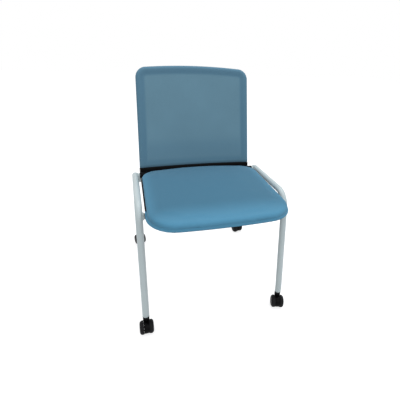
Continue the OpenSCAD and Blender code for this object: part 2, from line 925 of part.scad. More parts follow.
module caster_body() {
    color(black_color)
        difference() {
            union() {
                intersection() {
                    translate([-fork_w / 2, 0, 0])
                        on_axle()
                            cylinder(h = fork_w, r = hood_r);
                    translate([-fork_w, -trail - wheel_d, hood_low_z])
                        cube([2 * fork_w, 2 * wheel_d, wheel_d]);
                }
                translate([0, 0, wheel_r])
                    cylinder(h = wheel_r + moving_gap, d = fork_w);
                translate([0, 0, wheel_d + moving_gap])
                    cylinder(h = caster_neck_h - moving_gap, d = neck_d);
            }
            translate([0, 0, caster_top_z - stem_down - stem_end_gap])
                cylinder(h = stem_down + stem_end_gap + overrun, d = stem_d + 2 * running_gap);
            translate([-fork_w, 0, 0])
                on_axle()
                    cylinder(h = 2 * fork_w, d = axle_d + 2 * running_gap);
        }
}

module caster_axle() {
    half_l = fork_w / 2 + moving_gap + hub_bore - axle_end_gap;
    color(steel_color)
        translate([-half_l, 0, 0])
            on_axle()
                cylinder(h = 2 * half_l, d = axle_d);
}

// Width of a wheel at radius r, from its inner face to its domed outer face
function dome_at(r) =
    let (share = max(0, (r - dome_r) / (wheel_r - dome_r)))
    dome_w + (wheel_w - dome_w) * sqrt(max(0, 1 - share * share));

// Points of the dome from radius a to radius b
function dome_points(a, b) = [
    for (i = [0 : dome_steps])
        let (r = a + (b - a) * sin(90 * i / dome_steps))
        [r, dome_at(r)]
];

// Half section of a wheel's core: hub, web and rim, as [radius, width from the inner face].
// Its outer face is closed, with a shallow dish inside the dome.
module wheel_core_half() {
    rim_r = wheel_r - tread_t - seat_gap;
    bore_r = axle_d / 2 + running_gap;
    dome = dome_points(dome_r, rim_r);
    polygon(concat(
        [
            [bore_r, 0], [hub_d / 2, 0], [hub_d / 2, hub_recess], [rim_r - rim_in, hub_recess],
            [rim_r - rim_in, 0], [rim_r, 0]
        ],
        [for (i = [dome_steps : -1 : 0]) dome[i]],
        [[dome_r - dish_t, wheel_w - dish_t], [0, wheel_w - dish_t], [0, hub_bore], [bore_r, hub_bore]]
    ));
}

module tread_half() {
    inner_r = wheel_r - tread_t;
    dome = dome_points(inner_r, wheel_r);
    polygon(concat(
        [[inner_r, 0]],
        [for (i = [0 : dome_steps])
            let (a = 90 * i / dome_steps)
            [wheel_r - tread_round * (1 - sin(a)), tread_round * (1 - cos(a))]],
        [for (i = [dome_steps : -1 : 0]) dome[i]]
    ));
}

// Wheel a is on the caster's -X side and wheel b on its +X side
module in_wheel_place(hand) {
    mirrored(hand)
        translate([fork_w / 2 + moving_gap, 0, 0])
            on_axle()
                children();
}

module caster_wheel(hand) {
    color(black_color)
        in_wheel_place(hand)
            rotate_extrude()
                wheel_core_half();
}

module caster_tread(hand) {
    color(tread_color)
        in_wheel_place(hand)
            rotate_extrude()
                tread_half();
}

side_tube(-1);  // side_tube_left
side_tube(1);  // side_tube_right
rear_cross_tube();
hinge_pin(-1);  // hinge_pin_left
hinge_pin(1);  // hinge_pin_right
rest_peg(-1);  // rest_peg_left
rest_peg(1);  // rest_peg_right
rest_sleeve(-1);  // rest_sleeve_left
rest_sleeve(1);  // rest_sleeve_right
back_post(-1);  // back_post_left
back_post(1);  // back_post_right
back_rail();
back_loop();
back_sleeve();
back_screws();
leg_plugs();
caster_stems();
seat_shell();
seat_board();
seat_pad();
hinge_ear(-1);  // hinge_ear_left
hinge_ear(1);  // hinge_ear_right
hinge_bush(-1);  // hinge_bush_left
hinge_bush(1);  // hinge_bush_right
rest_saddle(-1);  // rest_saddle_left
rest_saddle(1);  // rest_saddle_right
seat_screws();
at_caster(-1, 0, front_left_turn) caster_body();  // front_left_body
at_caster(-1, 0, front_left_turn) caster_axle();  // front_left_axle
at_caster(-1, 0, front_left_turn) caster_wheel(-1);  // front_left_wheel_a
at_caster(-1, 0, front_left_turn) caster_wheel(1);  // front_left_wheel_b
at_caster(-1, 0, front_left_turn) caster_tread(-1);  // front_left_tread_a
at_caster(-1, 0, front_left_turn) caster_tread(1);  // front_left_tread_b
at_caster(1, 0, front_right_turn) caster_body();  // front_right_body
at_caster(1, 0, front_right_turn) caster_axle();  // front_right_axle
at_caster(1, 0, front_right_turn) caster_wheel(-1);  // front_right_wheel_a
at_caster(1, 0, front_right_turn) caster_wheel(1);  // front_right_wheel_b
at_caster(1, 0, front_right_turn) caster_tread(-1);  // front_right_tread_a
at_caster(1, 0, front_right_turn) caster_tread(1);  // front_right_tread_b
at_caster(-1, wheelbase, rear_turn) caster_body();  // rear_left_body
at_caster(-1, wheelbase, rear_turn) caster_axle();  // rear_left_axle
at_caster(-1, wheelbase, rear_turn) caster_wheel(-1);  // rear_left_wheel_a
at_caster(-1, wheelbase, rear_turn) caster_wheel(1);  // rear_left_wheel_b
at_caster(-1, wheelbase, rear_turn) caster_tread(-1);  // rear_left_tread_a
at_caster(-1, wheelbase, rear_turn) caster_tread(1);  // rear_left_tread_b
at_caster(1, wheelbase, rear_turn) caster_body();  // rear_right_body
at_caster(1, wheelbase, rear_turn) caster_axle();  // rear_right_axle
at_caster(1, wheelbase, rear_turn) caster_wheel(-1);  // rear_right_wheel_a
at_caster(1, wheelbase, rear_turn) caster_wheel(1);  // rear_right_wheel_b
at_caster(1, wheelbase, rear_turn) caster_tread(-1);  // rear_right_tread_a
at_caster(1, wheelbase, rear_turn) caster_tread(1);  // rear_right_tread_b
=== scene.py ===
"""Dresses a nesting chair on twin-wheel casters: fabrics, mouldings, paint, stage and camera."""

import math

import bmesh
import bpy
import numpy as np
from mathutils import Matrix, Vector
from mathutils.bvhtree import BVHTree


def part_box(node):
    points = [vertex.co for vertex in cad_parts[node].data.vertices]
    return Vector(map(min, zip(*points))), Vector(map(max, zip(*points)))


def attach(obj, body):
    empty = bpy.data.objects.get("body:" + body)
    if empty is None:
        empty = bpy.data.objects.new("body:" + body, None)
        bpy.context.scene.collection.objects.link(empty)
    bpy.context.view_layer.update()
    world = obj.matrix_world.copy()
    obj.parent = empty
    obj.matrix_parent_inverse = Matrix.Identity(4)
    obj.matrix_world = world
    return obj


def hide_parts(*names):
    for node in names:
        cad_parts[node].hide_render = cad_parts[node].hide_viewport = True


bl_info = {
    "name": "Nesting Chair Dress",
    "version": (1, 0, 0),
    "blender": (4, 5, 0),
    "location": "3D View > Sidebar > Chair",
    "description": "Fabrics, mouldings and finishes of a nesting chair",
    "category": "Object",
}

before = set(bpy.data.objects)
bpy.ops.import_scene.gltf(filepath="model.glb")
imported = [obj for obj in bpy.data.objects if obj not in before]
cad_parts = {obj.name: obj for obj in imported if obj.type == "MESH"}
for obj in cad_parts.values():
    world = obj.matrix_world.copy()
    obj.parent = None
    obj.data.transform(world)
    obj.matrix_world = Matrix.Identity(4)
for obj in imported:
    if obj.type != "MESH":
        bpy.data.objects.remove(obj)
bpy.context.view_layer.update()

SIDES = ("left", "right")
CASTERS = ("front_left", "front_right", "rear_left", "rear_right")
HANDS = ("a", "b")
FULL_TURN = 2 * math.pi
# Shares of a wheel's width: depth of its bore, its web, and its rim where the dome ends
HUB_BORE_SHARE, WEB_SHARE, DOME_FLAT_SHARE = 10 / 13.5, 0.2, 0.37
# Shares of a wheel's radius: thickness of its rim, and where its dome begins
RIM_SHARE, DOME_START_SHARE = 0.11, 0.59
# Widths of the rounded edges of posts, plugs, seat pan and caster hoods, in metres
POST_EDGE, PLUG_EDGE, PAN_EDGE, HOOD_EDGE = 0.0008, 0.0005, 0.0007, 0.0006
# Bend points of a side tube, as distance behind the front stem and height, and its bends
TUBE_CORNERS = (
    (0.0, 0.062),
    (0.0, 0.080),
    (0.057, 0.437),
    (0.353, 0.417),
    (0.495, 0.080),
    (0.495, 0.062),
)
TUBE_BENDS = (0.044, 0.054, 0.054, 0.044)
# The cushion's cloth while air swells it
CLOTH_SETTINGS = {
    "quality": 6, "mass": 0.25, "tension_stiffness": 25, "compression_stiffness": 25,
    "shear_stiffness": 12, "bending_stiffness": 2.0, "use_pressure": True,
    "uniform_pressure_force": 4.0, "vertex_group_mass": "held",
}
# Angles in degrees above which an edge of a moulded wheel or of a screw stays sharp
MOULDED_SHARP, SCREW_SHARP = 32.0, 30.0
# The camera: its place, its turns in degrees, lens and sensor in millimetres, shifts and clips
CAMERA_PLACE = (-0.2460, -0.98825, 0.9238)
CAMERA_TURNS = (("Z", -18.22), ("X", 64.66), ("Z", 3.76))
CAMERA_SETTINGS = {
    "lens": 28.28, "sensor_width": 36.0, "shift_x": -0.0652, "shift_y": -0.0526,
    "clip_start": 0.05, "clip_end": 50.0,
}
# The lamps: name, place, width and power
LAMPS = (
    ("top", (0.4, 0.3, 2.6), 2.0, 27.0),
    ("front", (0.3, -2.4, 2.2), 2.0, 16.0),
    ("left", (-1.8, -1.6, 1.4), 1.6, 2.5),
)


def srgb(red, green, blue):
    """The linear colour of an 8-bit screen colour."""

    def linear(channel):
        share = channel / 255
        return share / 12.92 if share <= 0.04045 else ((share + 0.055) / 1.055) ** 2.4

    return (linear(red), linear(green), linear(blue))


def length(text, default):
    """A length that a user may change, in metres."""
    return bpy.props.FloatProperty(name=text, default=default, min=0.0, unit="LENGTH", precision=5)


def colour(text, *rgb):
    """A colour that a user may change, given as on a screen."""
    return bpy.props.FloatVectorProperty(
        name=text, default=srgb(*rgb), subtype="COLOR", size=3, min=0.0, max=1.0
    )


class ChairSizes(bpy.types.PropertyGroup):
    """Sizes of the dressed pieces."""

    stem_d: length("Diameter of the swivel stems", 0.008)
    tube_r: length("Radius of the side tubes", 0.011)
    tube_wall: length("Wall of the side tubes", 0.002)
    tube_bore_z: length("Height to which the feet are hollow", 0.087)
    plug_taper_z: length("Height above which the plugs draw in", 0.0845)
    seat_w: length("Width of the seat shell", 0.440)
    seat_d: length("Depth of the seat between its bows", 0.408)
    seat_reach: length("How far the seat stands before the front stems", 0.071)
    seat_front_z: length("Height of the seat's middle plane at its front", 0.433)
    seat_fall: length("Fall of the seat from front to rear", 0.008)
    pad_rise: length("Height of the pad's edge above the middle plane", 0.016)
    pad_start_in: length("How much smaller the pad is before it swells", 0.0012)
    pad_swell: length("Furthest that the cushion's cloth may swell", 0.0042)
    pad_slack: length("How far the cloth may lie inside the pad's solid", 0.0004)
    pad_proud: length("How far the cloth may stand outside the pad's solid", 0.0016)
    pad_voxel: length("Size of the cushion's mesh before it is rounded", 0.0055)
    # The next two set the painted sheen: cloth painted paler at the front roll and at the sides,
    # where the light catches it.
    sheen_front: length("Depth of the paler, stretched cloth at the front", 0.11)
    sheen_side: length("Width of the paler, stretched cloth at the sides", 0.045)
    seat_front_r: length("Radius of the seat's front corners", 0.088)
    seat_front_bow: length("Forward bow of the seat's front edge", 0.004)
    lip_t: length("How far the cloth lip stands outside the shell", 0.0012)
    lip_gap: length("Gap between the cloth lip and the shell", 0.0002)
    lip_up: length("How far the lip reaches up the cushion's side", 0.0048)
    lip_drop: length("How far the lip hangs down over the shell's edge", 0.0042)
    lip_end: length("Where the lip ends on the seat's sides", 0.132)
    lip_fade: length("Length over which the lip thins out", 0.056)
    back_foot_w: length("Width of the back at its foot", 0.438)
    back_top_w: length("Width of the back at its top", 0.426)
    back_h: length("Height of the fabric along the back at its sides", 0.368)
    back_crown: length("Rise of the top edge's middle", 0.0084)
    back_corner_r: length("Radius of the top corners", 0.040)
    back_sag: length("Depth of the back's curve", 0.020)
    back_foot_y: length("Distance of the foot behind the front stems", 0.39089)
    back_foot_z: length("Height of the fabric's lower edge", 0.425)
    back_t: length("Thickness of the sleeved back", 0.020)
    sleeve_t: length("Thickness of the knit", 0.0014)
    # The darker strip over the loop is partly the steel showing through and partly painted light
    # through the paler middle; the foot strip, its faint shade and the hem are painted shade.
    border_w: length("Width of the darker strip round the knit", 0.036)
    foot_shade_strip_h: length("Height of the darker strip along the knit's foot", 0.045)
    foot_shade_h: length("Height of the fainter shade over that strip", 0.12)
    hem_shade_h: length("Height over which the knit darkens to its foot", 0.013)
    skin_dip: length("How far the knit dips inside its border", 0.0028)
    rail_h: length("Height of the black rail", 0.031)
    rail_t: length("Thickness of the black rail", 0.021)
    rail_gap: length("Gap between the knit and the rail", 0.0003)
    rail_round: length("Radius of the rail's edges", 0.0035)
    stitch_pitch: length("Distance between stitches", 0.0048)
    stitch_l: length("Length of one stitch", 0.0034)
    stitch_d: length("Thickness of the thread", 0.0007)
    bead_r: length("Radius of the weld beads", 0.0015)
    bead_pitch: length("Distance between the ripples of a weld", 0.0011)
    wheel_in: length("How much closer to the hood the wheels' faces stand", 0.0003)
    edge_round: length("Radius of moulded edges", 0.0009)
    rib_h: length("Height of the ribs under the seat shell", 0.0022)
    rib_t: length("Thickness of those ribs", 0.0018)
    rib_pitch: length("Distance between those ribs", 0.036)
    back_lean: bpy.props.FloatProperty(
        name="Back lean", description="Lean of the back from upright",
        default=math.radians(12.4), subtype="ANGLE",
    )


class ChairColours(bpy.types.PropertyGroup):
    """Colours of the finishes."""

    paint: colour("Powder coat of the frame", 186, 199, 202)
    seat_cloth: colour("Woven cloth of the seat", 73, 127, 156)
    # The knit's middle is painted paler as light through the knit; the border colour also paints
    # the shade in the pores, towards the foot and along the hem.
    knit: colour("Knit of the back", 107, 145, 164)
    knit_border_shade: colour("Knit over the loop", 91, 131, 154)
    moulding: colour("Black moulded plastic", 8, 8, 9)
    rubber: colour("Black rubber of the rests", 8, 8, 9)
    tread: colour("Rubber of the wheels", 30, 30, 32)
    steel: colour("Plated steel of screws and stems", 188, 190, 192)
    loop_steel: colour("Coated steel inside the back", 58, 60, 62)
    ply: colour("Board inside the seat", 196, 164, 118)
    thread: colour("Sewing thread", 64, 98, 120)
    floor: colour("Floor and backdrop", 196, 197, 199)


def add_node(tree, kind, settings=None, inputs=None):
    """A node with its settings, and its inputs set or linked."""
    node = tree.nodes.new(kind)
    for key, value in (settings or {}).items():
        setattr(node, key, value)
    for key, value in (inputs or {}).items():
        if isinstance(value, bpy.types.NodeSocket):
            tree.links.new(value, node.inputs[key])
        else:
            node.inputs[key].default_value = value
    return node


def object_place(tree):
    """Object coordinates, which are the frame's own metres."""
    return add_node(tree, "ShaderNodeTexCoord").outputs["Object"]


def noise(tree, place, scale, detail=2.0):
    """Noise with so many features in a metre."""
    node = add_node(
        tree, "ShaderNodeTexNoise", None, {"Vector": place, "Scale": scale, "Detail": detail}
    )
    return node.outputs["Fac"]


def spread(tree, value, low, high, from_low=0.0, from_high=1.0):
    """A value moved from one range to another."""
    node = add_node(
        tree, "ShaderNodeMapRange", None,
        {"Value": value, "From Min": from_low, "From Max": from_high,
         "To Min": low, "To Max": high},
    )
    return node.outputs["Result"]


def ramp(tree, value, full, none):
    """1 up to the value full, and softly down to 0 at the value none."""
    node = add_node(
        tree, "ShaderNodeMapRange", {"interpolation_type": "SMOOTHSTEP"},
        {"Value": value, "From Min": full, "From Max": none, "To Min": 1.0, "To Max": 0.0},
    )
    return node.outputs["Result"]


def maths(tree, operation, first, second=0.0):
    """One sum on two values."""
    node = add_node(tree, "ShaderNodeMath", {"operation": operation}, {0: first, 1: second})
    return node.outputs["Value"]


def mixed(tree, amount, first, second):
    """A colour between two colours."""
    node = add_node(
        tree, "ShaderNodeMix", {"data_type": "RGBA"}, {0: amount, 6: first, 7: second}
    )
    return node.outputs[2]


def shaded(rgb, factor):
    """A colour made lighter or darker, with its alpha."""
    return tuple(min(1.0, channel * factor) for channel in rgb) + (1.0,)


def mottled(tree, place, rgb, shades, grain, ends, reach=(0.0, 1.0)):
    """A colour between two shades of itself, in patches of noise of (scale, detail)."""
    amount = spread(tree, noise(tree, place, *grain), *reach, *ends)
    return mixed(tree, amount, shaded(rgb, shades[0]), shaded(rgb, shades[1]))


def new_finish(name, roughness, settings=None):
    """An empty material, its tree and its shader, with constant sockets set."""
    material = bpy.data.materials.new(name)
    material.use_nodes = True
    tree = material.node_tree
    shader = tree.nodes["Principled BSDF"]
    shader.inputs["Roughness"].default_value = roughness
    for key, value in (settings or {}).items():
        shader.inputs[key].default_value = value
    return material, tree, shader


def bump(tree, shader, height, distance, strength=1.0):
    """Raises the surface by height times distance."""
    raised = {"Height": height, "Distance": distance, "Strength": strength}
    feed(tree, shader, "Normal", add_node(tree, "ShaderNodeBump", None, raised).outputs["Normal"])


def feed(tree, shader, socket, value):
    """Links a value to a socket of the shader."""
    tree.links.new(value, shader.inputs[socket])


def powder_coat(colours):
    """Pale satin powder coat with a faint orange peel and rub marks."""
    material, tree, shader = new_finish(
        "powder_coat", 0.42, {"Coat Weight": 0.15, "Coat Roughness": 0.3}
    )
    place = object_place(tree)
    tone = mottled(tree, place, colours.paint, (0.965, 1.03), (7.0, 2.0), (0.35, 0.65))
    specks = spread(tree, noise(tree, place, 1400.0, 1.0), 0.0, 0.35, 0.66, 0.74)
    feed(tree, shader, "Base Color", mixed(tree, specks, tone, shaded(colours.paint, 0.8)))
    rub = spread(tree, noise(tree, place, 40.0, 4.0), 0.34, 0.5, 0.3, 0.7)
    feed(tree, shader, "Roughness", rub)
    bump(tree, shader, noise(tree, place, 620.0, 2.0), 0.00006)
    return material


def moulded_plastic(name, rgb, roughness, grain):
    """Black moulded plastic with a fine spark grain and a little dust."""
    material, tree, shader = new_finish(name, roughness, {"Specular IOR Level": 0.06})
    place = object_place(tree)
    cells = add_node(
        tree, "ShaderNodeTexVoronoi", {"feature": "F1"}, {"Vector": place, "Scale": grain}
    )
    dusty = mottled(tree, place, rgb, (0.85, 1.9), (55.0, 5.0), (0.5, 0.8), (0.0, 0.5))
    feed(tree, shader, "Base Color", dusty)
    worn = spread(tree, noise(tree, place, 24.0, 3.0), roughness - 0.07, roughness + 0.1, 0.3, 0.7)
    feed(tree, shader, "Roughness", worn)
    bump(tree, shader, cells.outputs["Distance"], 0.00012, 0.3)
    return material


def matt_rubber(name, rgb, roughness):
    """Rubber with a dry bloom and fine pits."""
    material, tree, shader = new_finish(name, roughness, {"Specular IOR Level": 0.1})
    place = object_place(tree)
    bloom = mottled(tree, place, rgb, (0.8, 1.9), (90.0, 6.0), (0.45, 0.75), (0.0, 0.6))
    feed(tree, shader, "Base Color", bloom)
    bump(tree, shader, noise(tree, place, 1800.0, 3.0), 0.00008)
    return material


def plated_steel(name, rgb, roughness):
    """Zinc plated steel with a faint brushed grain."""
    material, tree, shader = new_finish(name, roughness, {"Metallic": 1.0})
    place = object_place(tree)
    cloudy = mottled(tree, place, rgb, (0.85, 1.08), (300.0, 4.0), (0.3, 0.7))
    feed(tree, shader, "Base Color", cloudy)
    rough = spread(tree, noise(tree, place, 900.0, 2.0), roughness - 0.08, roughness + 0.1)
    feed(tree, shader, "Roughness", rough)
    bump(tree, shader, noise(tree, place, 2200.0, 2.0), 0.00003)
    return material


def plywood(colours):
    """Birch plywood with grain along the seat's depth."""
    material, tree, shader = new_finish("birch_ply", 0.6)
    stretched = {"Vector": object_place(tree), "Scale": (60.0, 6.0, 400.0)}
    along = add_node(tree, "ShaderNodeMapping", None, stretched).outputs["Vector"]
    grain = noise(tree, along, 1.0, 6.0)
    shades = shaded(colours.ply, 0.75), shaded(colours.ply, 1.1)
    feed(tree, shader, "Base Color", mixed(tree, grain, *shades))
    bump(tree, shader, grain, 0.00015)
    return material


def new_cloth(name, roughness, sheen, sheen_rough, specular, tint):
    """A cloth's empty material with its sheen, and the metres along the cloth."""
    material, tree, shader = new_finish(
        name, roughness,
        {"Sheen Weight": sheen, "Sheen Roughness": sheen_rough, "Specular IOR Level": specular,
         "Sheen Tint": shaded(srgb(*tint), 1.0)},
    )
    place = add_node(tree, "ShaderNodeAttribute", {"attribute_name": "cloth"}).outputs["Vector"]
    return material, tree, shader, place


def yarns(tree, place, direction, period):
    """Rounded yarns that run across one direction of the cloth, from 0 to 1."""
    node = add_node(
        tree, "ShaderNodeTexWave",
        {"wave_type": "BANDS", "bands_direction": direction, "wave_profile": "SIN"},
        {"Vector": place, "Scale": FULL_TURN / (20.0 * period), "Distortion": 0.0},
    )
    return node.outputs["Fac"]


def seat_weave(colours):
    """Plain woven wool-like cloth: two crossing sets of yarns, heathered and a little fuzzy.

    It is painted paler towards its front roll and its sides: a painted sheen where the light
    catches the cloth."""
    rgb = colours.seat_cloth
    material, tree, shader, place = new_cloth("seat_weave", 0.9, 0.28, 0.45, 0.2, (190, 214, 228))
    warp = yarns(tree, place, "X", 0.0016)
    weft = yarns(tree, place, "Y", 0.0019)
    crossing = maths(tree, "MULTIPLY", warp, weft)
    fuzz = noise(tree, place, 1700.0, 3.0)
    heather = spread(tree, noise(tree, place, 420.0, 2.0), 0.0, 1.0, 0.35, 0.65)
    base = mottled(tree, place, rgb, (0.95, 1.05), (9.0, 3.0), (0.3, 0.7))
    flecked = mixed(tree, maths(tree, "MULTIPLY", heather, 0.3), base, shaded(rgb, 1.35))
    # Painted shade between the yarns: the gaps are painted darker than the lit crossings.
    lit = spread(tree, crossing, 0.0, 0.4, 0.0, 0.35)
    # Painted sheen: the cloth is painted paler where this attribute says, along the front roll and
    # the sides.
    stretch = add_node(tree, "ShaderNodeAttribute", {"attribute_name": "stretch"}).outputs["Fac"]
    without_sheen = mixed(tree, lit, shaded(rgb, 0.72), flecked)
    sheen_lit = mixed(tree, lit, shaded(rgb, 1.16), shaded(rgb, 1.62))
    feed(tree, shader, "Base Color", mixed(tree, stretch, without_sheen, sheen_lit))
    height = maths(tree, "ADD", crossing, maths(tree, "MULTIPLY", fuzz, 0.5))
    bump(tree, shader, height, 0.00035, 0.7)
    return material


def back_knit(colours):
    """Spacer knit with offset rows of small pores, the pores painted in shade. It is darker over
    the loop, partly the steel showing through and partly painted light through the paler middle,
    and painted shade darkens it towards its foot and hem.
    """
    sizes = bpy.context.scene.chair_sizes
    rim = colours.knit_border_shade
    material, tree, shader, place = new_cloth("back_knit", 0.85, 0.2, 0.4, 0.22, (200, 216, 226))
    pores = add_node(
        tree, "ShaderNodeTexVoronoi", {"feature": "F1", "voronoi_dimensions": "2D"},
        {"Vector": place, "Scale": 430.0, "Randomness": 0.12},
    ).outputs["Distance"]
    # The border is darker over the loop, partly real and partly painted light; painted shade
    # darkens the foot strip and, more faintly, the panel above it.
    edge = add_node(tree, "ShaderNodeAttribute", {"attribute_name": "border"}).outputs["Fac"]
    up = add_node(tree, "ShaderNodeSeparateXYZ", None, {"Vector": place}).outputs["Y"]
    foot = ramp(tree, up, 0.33 * sizes.foot_shade_strip_h, sizes.foot_shade_strip_h)
    faint_shade = ramp(tree, up, 0.55 * sizes.foot_shade_h, sizes.foot_shade_h)
    painted_foot_shade = maths(tree, "MAXIMUM", foot, maths(tree, "MULTIPLY", faint_shade, 0.45))
    border = maths(tree, "MAXIMUM", edge, painted_foot_shade)
    middle = mottled(tree, place, colours.knit, (0.95, 1.05), (6.0, 3.0), (0.3, 0.7))
    edged = mixed(tree, border, middle, shaded(rim, 1.0))
    # Painted shade in the pores.
    pore_shade = spread(tree, pores, 0.55, 0.0, 0.12, 0.42)
    knitted = mixed(tree, pore_shade, edged, shaded(rim, 0.5))
    # Painted shade along the hem, darkest at the foot.
    hem = maths(tree, "MULTIPLY", ramp(tree, up, 0.0, sizes.hem_shade_h), 0.6)
    feed(tree, shader, "Base Color", mixed(tree, hem, knitted, shaded(rim, 0.3)))
    ribs = yarns(tree, place, "X", 0.0046)
    height = maths(tree, "ADD", pores, maths(tree, "MULTIPLY", ribs, 0.25))
    bump(tree, shader, height, 0.0004, 0.6)
    return material


def sewing_thread(colours):
    """Twisted polyester thread."""
    material, tree, shader = new_finish("sewing_thread", 0.6, {"Sheen Weight": 0.2})
    twist = noise(tree, object_place(tree), 3000.0, 2.0)
    shades = shaded(colours.thread, 0.7), shaded(colours.thread, 1.2)
    feed(tree, shader, "Base Color", mixed(tree, twist, *shades))
    bump(tree, shader, twist, 0.0001)
    return material


def finish_named(name):
    """The material of that name, made on its first use."""
    colours = bpy.context.scene.chair_colours
    makers = {
        "powder_coat": lambda: powder_coat(colours),
        "moulding": lambda: moulded_plastic(name, colours.moulding, 0.45, 1500.0),
        "caster_nylon": lambda: moulded_plastic(name, colours.moulding, 0.32, 2400.0),
        "rest_rubber": lambda: matt_rubber(name, colours.rubber, 0.6),
        "tyre_rubber": lambda: matt_rubber(name, colours.tread, 0.55),
        "plated_steel": lambda: plated_steel(name, colours.steel, 0.3),
        "coated_steel": lambda: plated_steel(name, colours.loop_steel, 0.45),
        "birch_ply": lambda: plywood(colours),
        "seat_weave": lambda: seat_weave(colours),
        "back_knit": lambda: back_knit(colours),
        "sewing_thread": lambda: sewing_thread(colours),
    }
    return bpy.data.materials.get(name) or makers[name]()


def coat(mesh, finish):
    """Gives a mesh one finish."""
    mesh.materials.clear()
    mesh.materials.append(finish_named(finish))


def coat_nodes(names, finish):
    """Gives carried-over CAD nodes a finish."""
    for name in names:
        coat(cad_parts[name].data, finish)


def front_stem_y():
    """Where the front swivel lines stand."""
    sizes = bpy.context.scene.chair_sizes
    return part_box("caster_stems")[0].y + sizes.stem_d / 2


def seat_frame():
    """The seat's middle plane: x across, y back from the front edge, z off the plane."""
    sizes = bpy.context.scene.chair_sizes
    tilt = -math.atan(sizes.seat_fall / sizes.seat_d)
    place = Matrix.Translation((0, front_stem_y() - sizes.seat_reach, sizes.seat_front_z))
    return place @ Matrix.Rotation(tilt, 4, "X")


def back_frame():
    """The back's foot: x across, y to the rear, z up along the back."""
    sizes = bpy.context.scene.chair_sizes
    place = Matrix.Translation((0, front_stem_y() + sizes.back_foot_y, sizes.back_foot_z))
    return place @ Matrix.Rotation(-sizes.back_lean, 4, "X")


def moved(points, matrix):
    """Points carried through a 4x4 matrix."""
    m = np.array(matrix)
    return np.asarray(points, float) @ m[:3, :3].T + m[:3, 3]


def linked(name, data):
    """A new object with this data, in the scene."""
    made = bpy.data.objects.new(name, data)
    bpy.context.scene.collection.objects.link(made)
    return made


def smoothed(mesh, sharp_deg):
    """Shades the mesh smooth, but for the edges over an angle."""
    mesh.shade_smooth()
    mesh.set_sharp_from_angle(angle=math.radians(sharp_deg))


def welded(mesh, merge=2e-6):
    """The mesh as a bmesh with its doubles merged."""
    work = bmesh.new()
    work.from_mesh(mesh)
    bmesh.ops.remove_doubles(work, verts=work.verts, dist=merge)
    return work


def poured(work, mesh):
    """Puts the bmesh into the mesh and frees it."""
    work.to_mesh(mesh)
    work.free()
    return mesh


def skin(rows, count, closed=True, caps=True):
    """Faces between rows of count points each, and over the first and the last row."""
    faces = [
        (k * count + i, k * count + (i + 1) % count,
         (k + 1) * count + (i + 1) % count, (k + 1) * count + i)
        for k in range(rows - 1)
        for i in range(count if closed else count - 1)
    ]
    if caps:
        faces += [tuple(range(count)), tuple(range((rows - 1) * count, rows * count))]
    return faces


def new_piece(name, points, faces, finish):
    """A smooth mesh object at the origin, in the frame's metres."""
    mesh = bpy.data.meshes.new(name)
    mesh.from_pydata([tuple(p) for p in points], [], [tuple(f) for f in faces])
    coat(mesh, finish)
    mesh.shade_smooth()
    return linked(name, mesh)


def tidy_mesh(mesh, outward=True, merge=1e-6, sharp_deg=40.0):
    """Merges doubles, turns the faces outward and marks the sharp edges."""
    work = welded(mesh, merge)
    bmesh.ops.dissolve_degenerate(work, edges=work.edges, dist=merge)
    if outward:
        bmesh.ops.recalc_face_normals(work, faces=work.faces)
    smoothed(poured(work, mesh), sharp_deg)


def put_modifier(piece, kind, **settings):
    """Adds a modifier with its settings."""
    modifier = piece.modifiers.new(kind.title(), kind)
    for key, value in settings.items():
        setattr(modifier, key, value)


def baked(piece):
    """Turns the piece with its modifiers into a plain mesh and drops the modifiers."""
    graph = bpy.context.evaluated_depsgraph_get()
    mesh = bpy.data.meshes.new_from_object(piece.evaluated_get(graph))
    piece.modifiers.clear()
    name, old = piece.name, piece.data
    if piece.type == "MESH":
        piece.data = mesh
    else:
        bpy.data.objects.remove(piece)
        bpy.data.curves.remove(old)
        piece = linked(name, mesh)
    mesh.name = name
    return piece


def place_piece(piece, body, replaced=()):
    """Rides the piece on its body and the nodes it stands for."""
    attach(piece, body)
    if replaced:
        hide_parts(*replaced)
    return piece


def solid_copy(node):
    """The node's mesh as one closed bmesh, with flat faces joined."""
    work = welded(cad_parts[node].data)
    bmesh.ops.dissolve_limit(
        work, angle_limit=math.radians(0.6), verts=work.verts, edges=work.edges
    )
    bmesh.ops.recalc_face_normals(work, faces=work.faces)
    return work


def rounded_copy(node, name, finish, width, steps=2, angle=38.0):
    """The node's shape with its sharp edges rounded."""
    work = solid_copy(node)
    sharp = [
        e for e in work.edges
        if len(e.link_faces) == 2 and e.calc_face_angle(0.0) > math.radians(angle)
    ]
    bmesh.ops.bevel(
        work, geom=sharp, offset=width, segments=steps, profile=0.5,
        affect="EDGES", clamp_overlap=True,
    )
    mesh = poured(work, bpy.data.meshes.new(name))
    coat(mesh, finish)
    smoothed(mesh, 35.0)
    return linked(name, mesh)


def rounded_piece(node, name, finish, body, slot, *rounding):
    """A rounded copy in its node's place."""
    return place_piece(rounded_copy(node, name, finish, *rounding), body, [node])


def bent_route(corners, bends, step_deg=3.0):
    """Places and ways along a line through the corners, with a round bend at each inner one."""
    corners = [np.array(c, float) for c in corners]
    ways = [(b - a) / np.linalg.norm(b - a) for a, b in zip(corners, corners[1:])]
    route = [(corners[0], ways[0])]
    for corner, come, go, radius in zip(corners[1:], ways, ways[1:], bends):
        turn = math.atan2(come[0] * go[1] - come[1] * go[0], come @ go)
        start = corner - come * radius * math.tan(abs(turn) / 2)
        arm = math.copysign(radius, turn)
        centre = start + arm * np.array((-come[1], come[0]))
        steps = math.ceil(abs(math.degrees(turn)) / step_deg)
        for i in range(steps + 1):
            c, r = math.cos(turn * i / steps), math.sin(turn * i / steps)
            way = np.array((c * come[0] - r * come[1], r * come[0] + c * come[1]))
            route.append((centre - arm * np.array((-way[1], way[0])), way))
    route.append((corners[-1], ways[-1]))
    return route


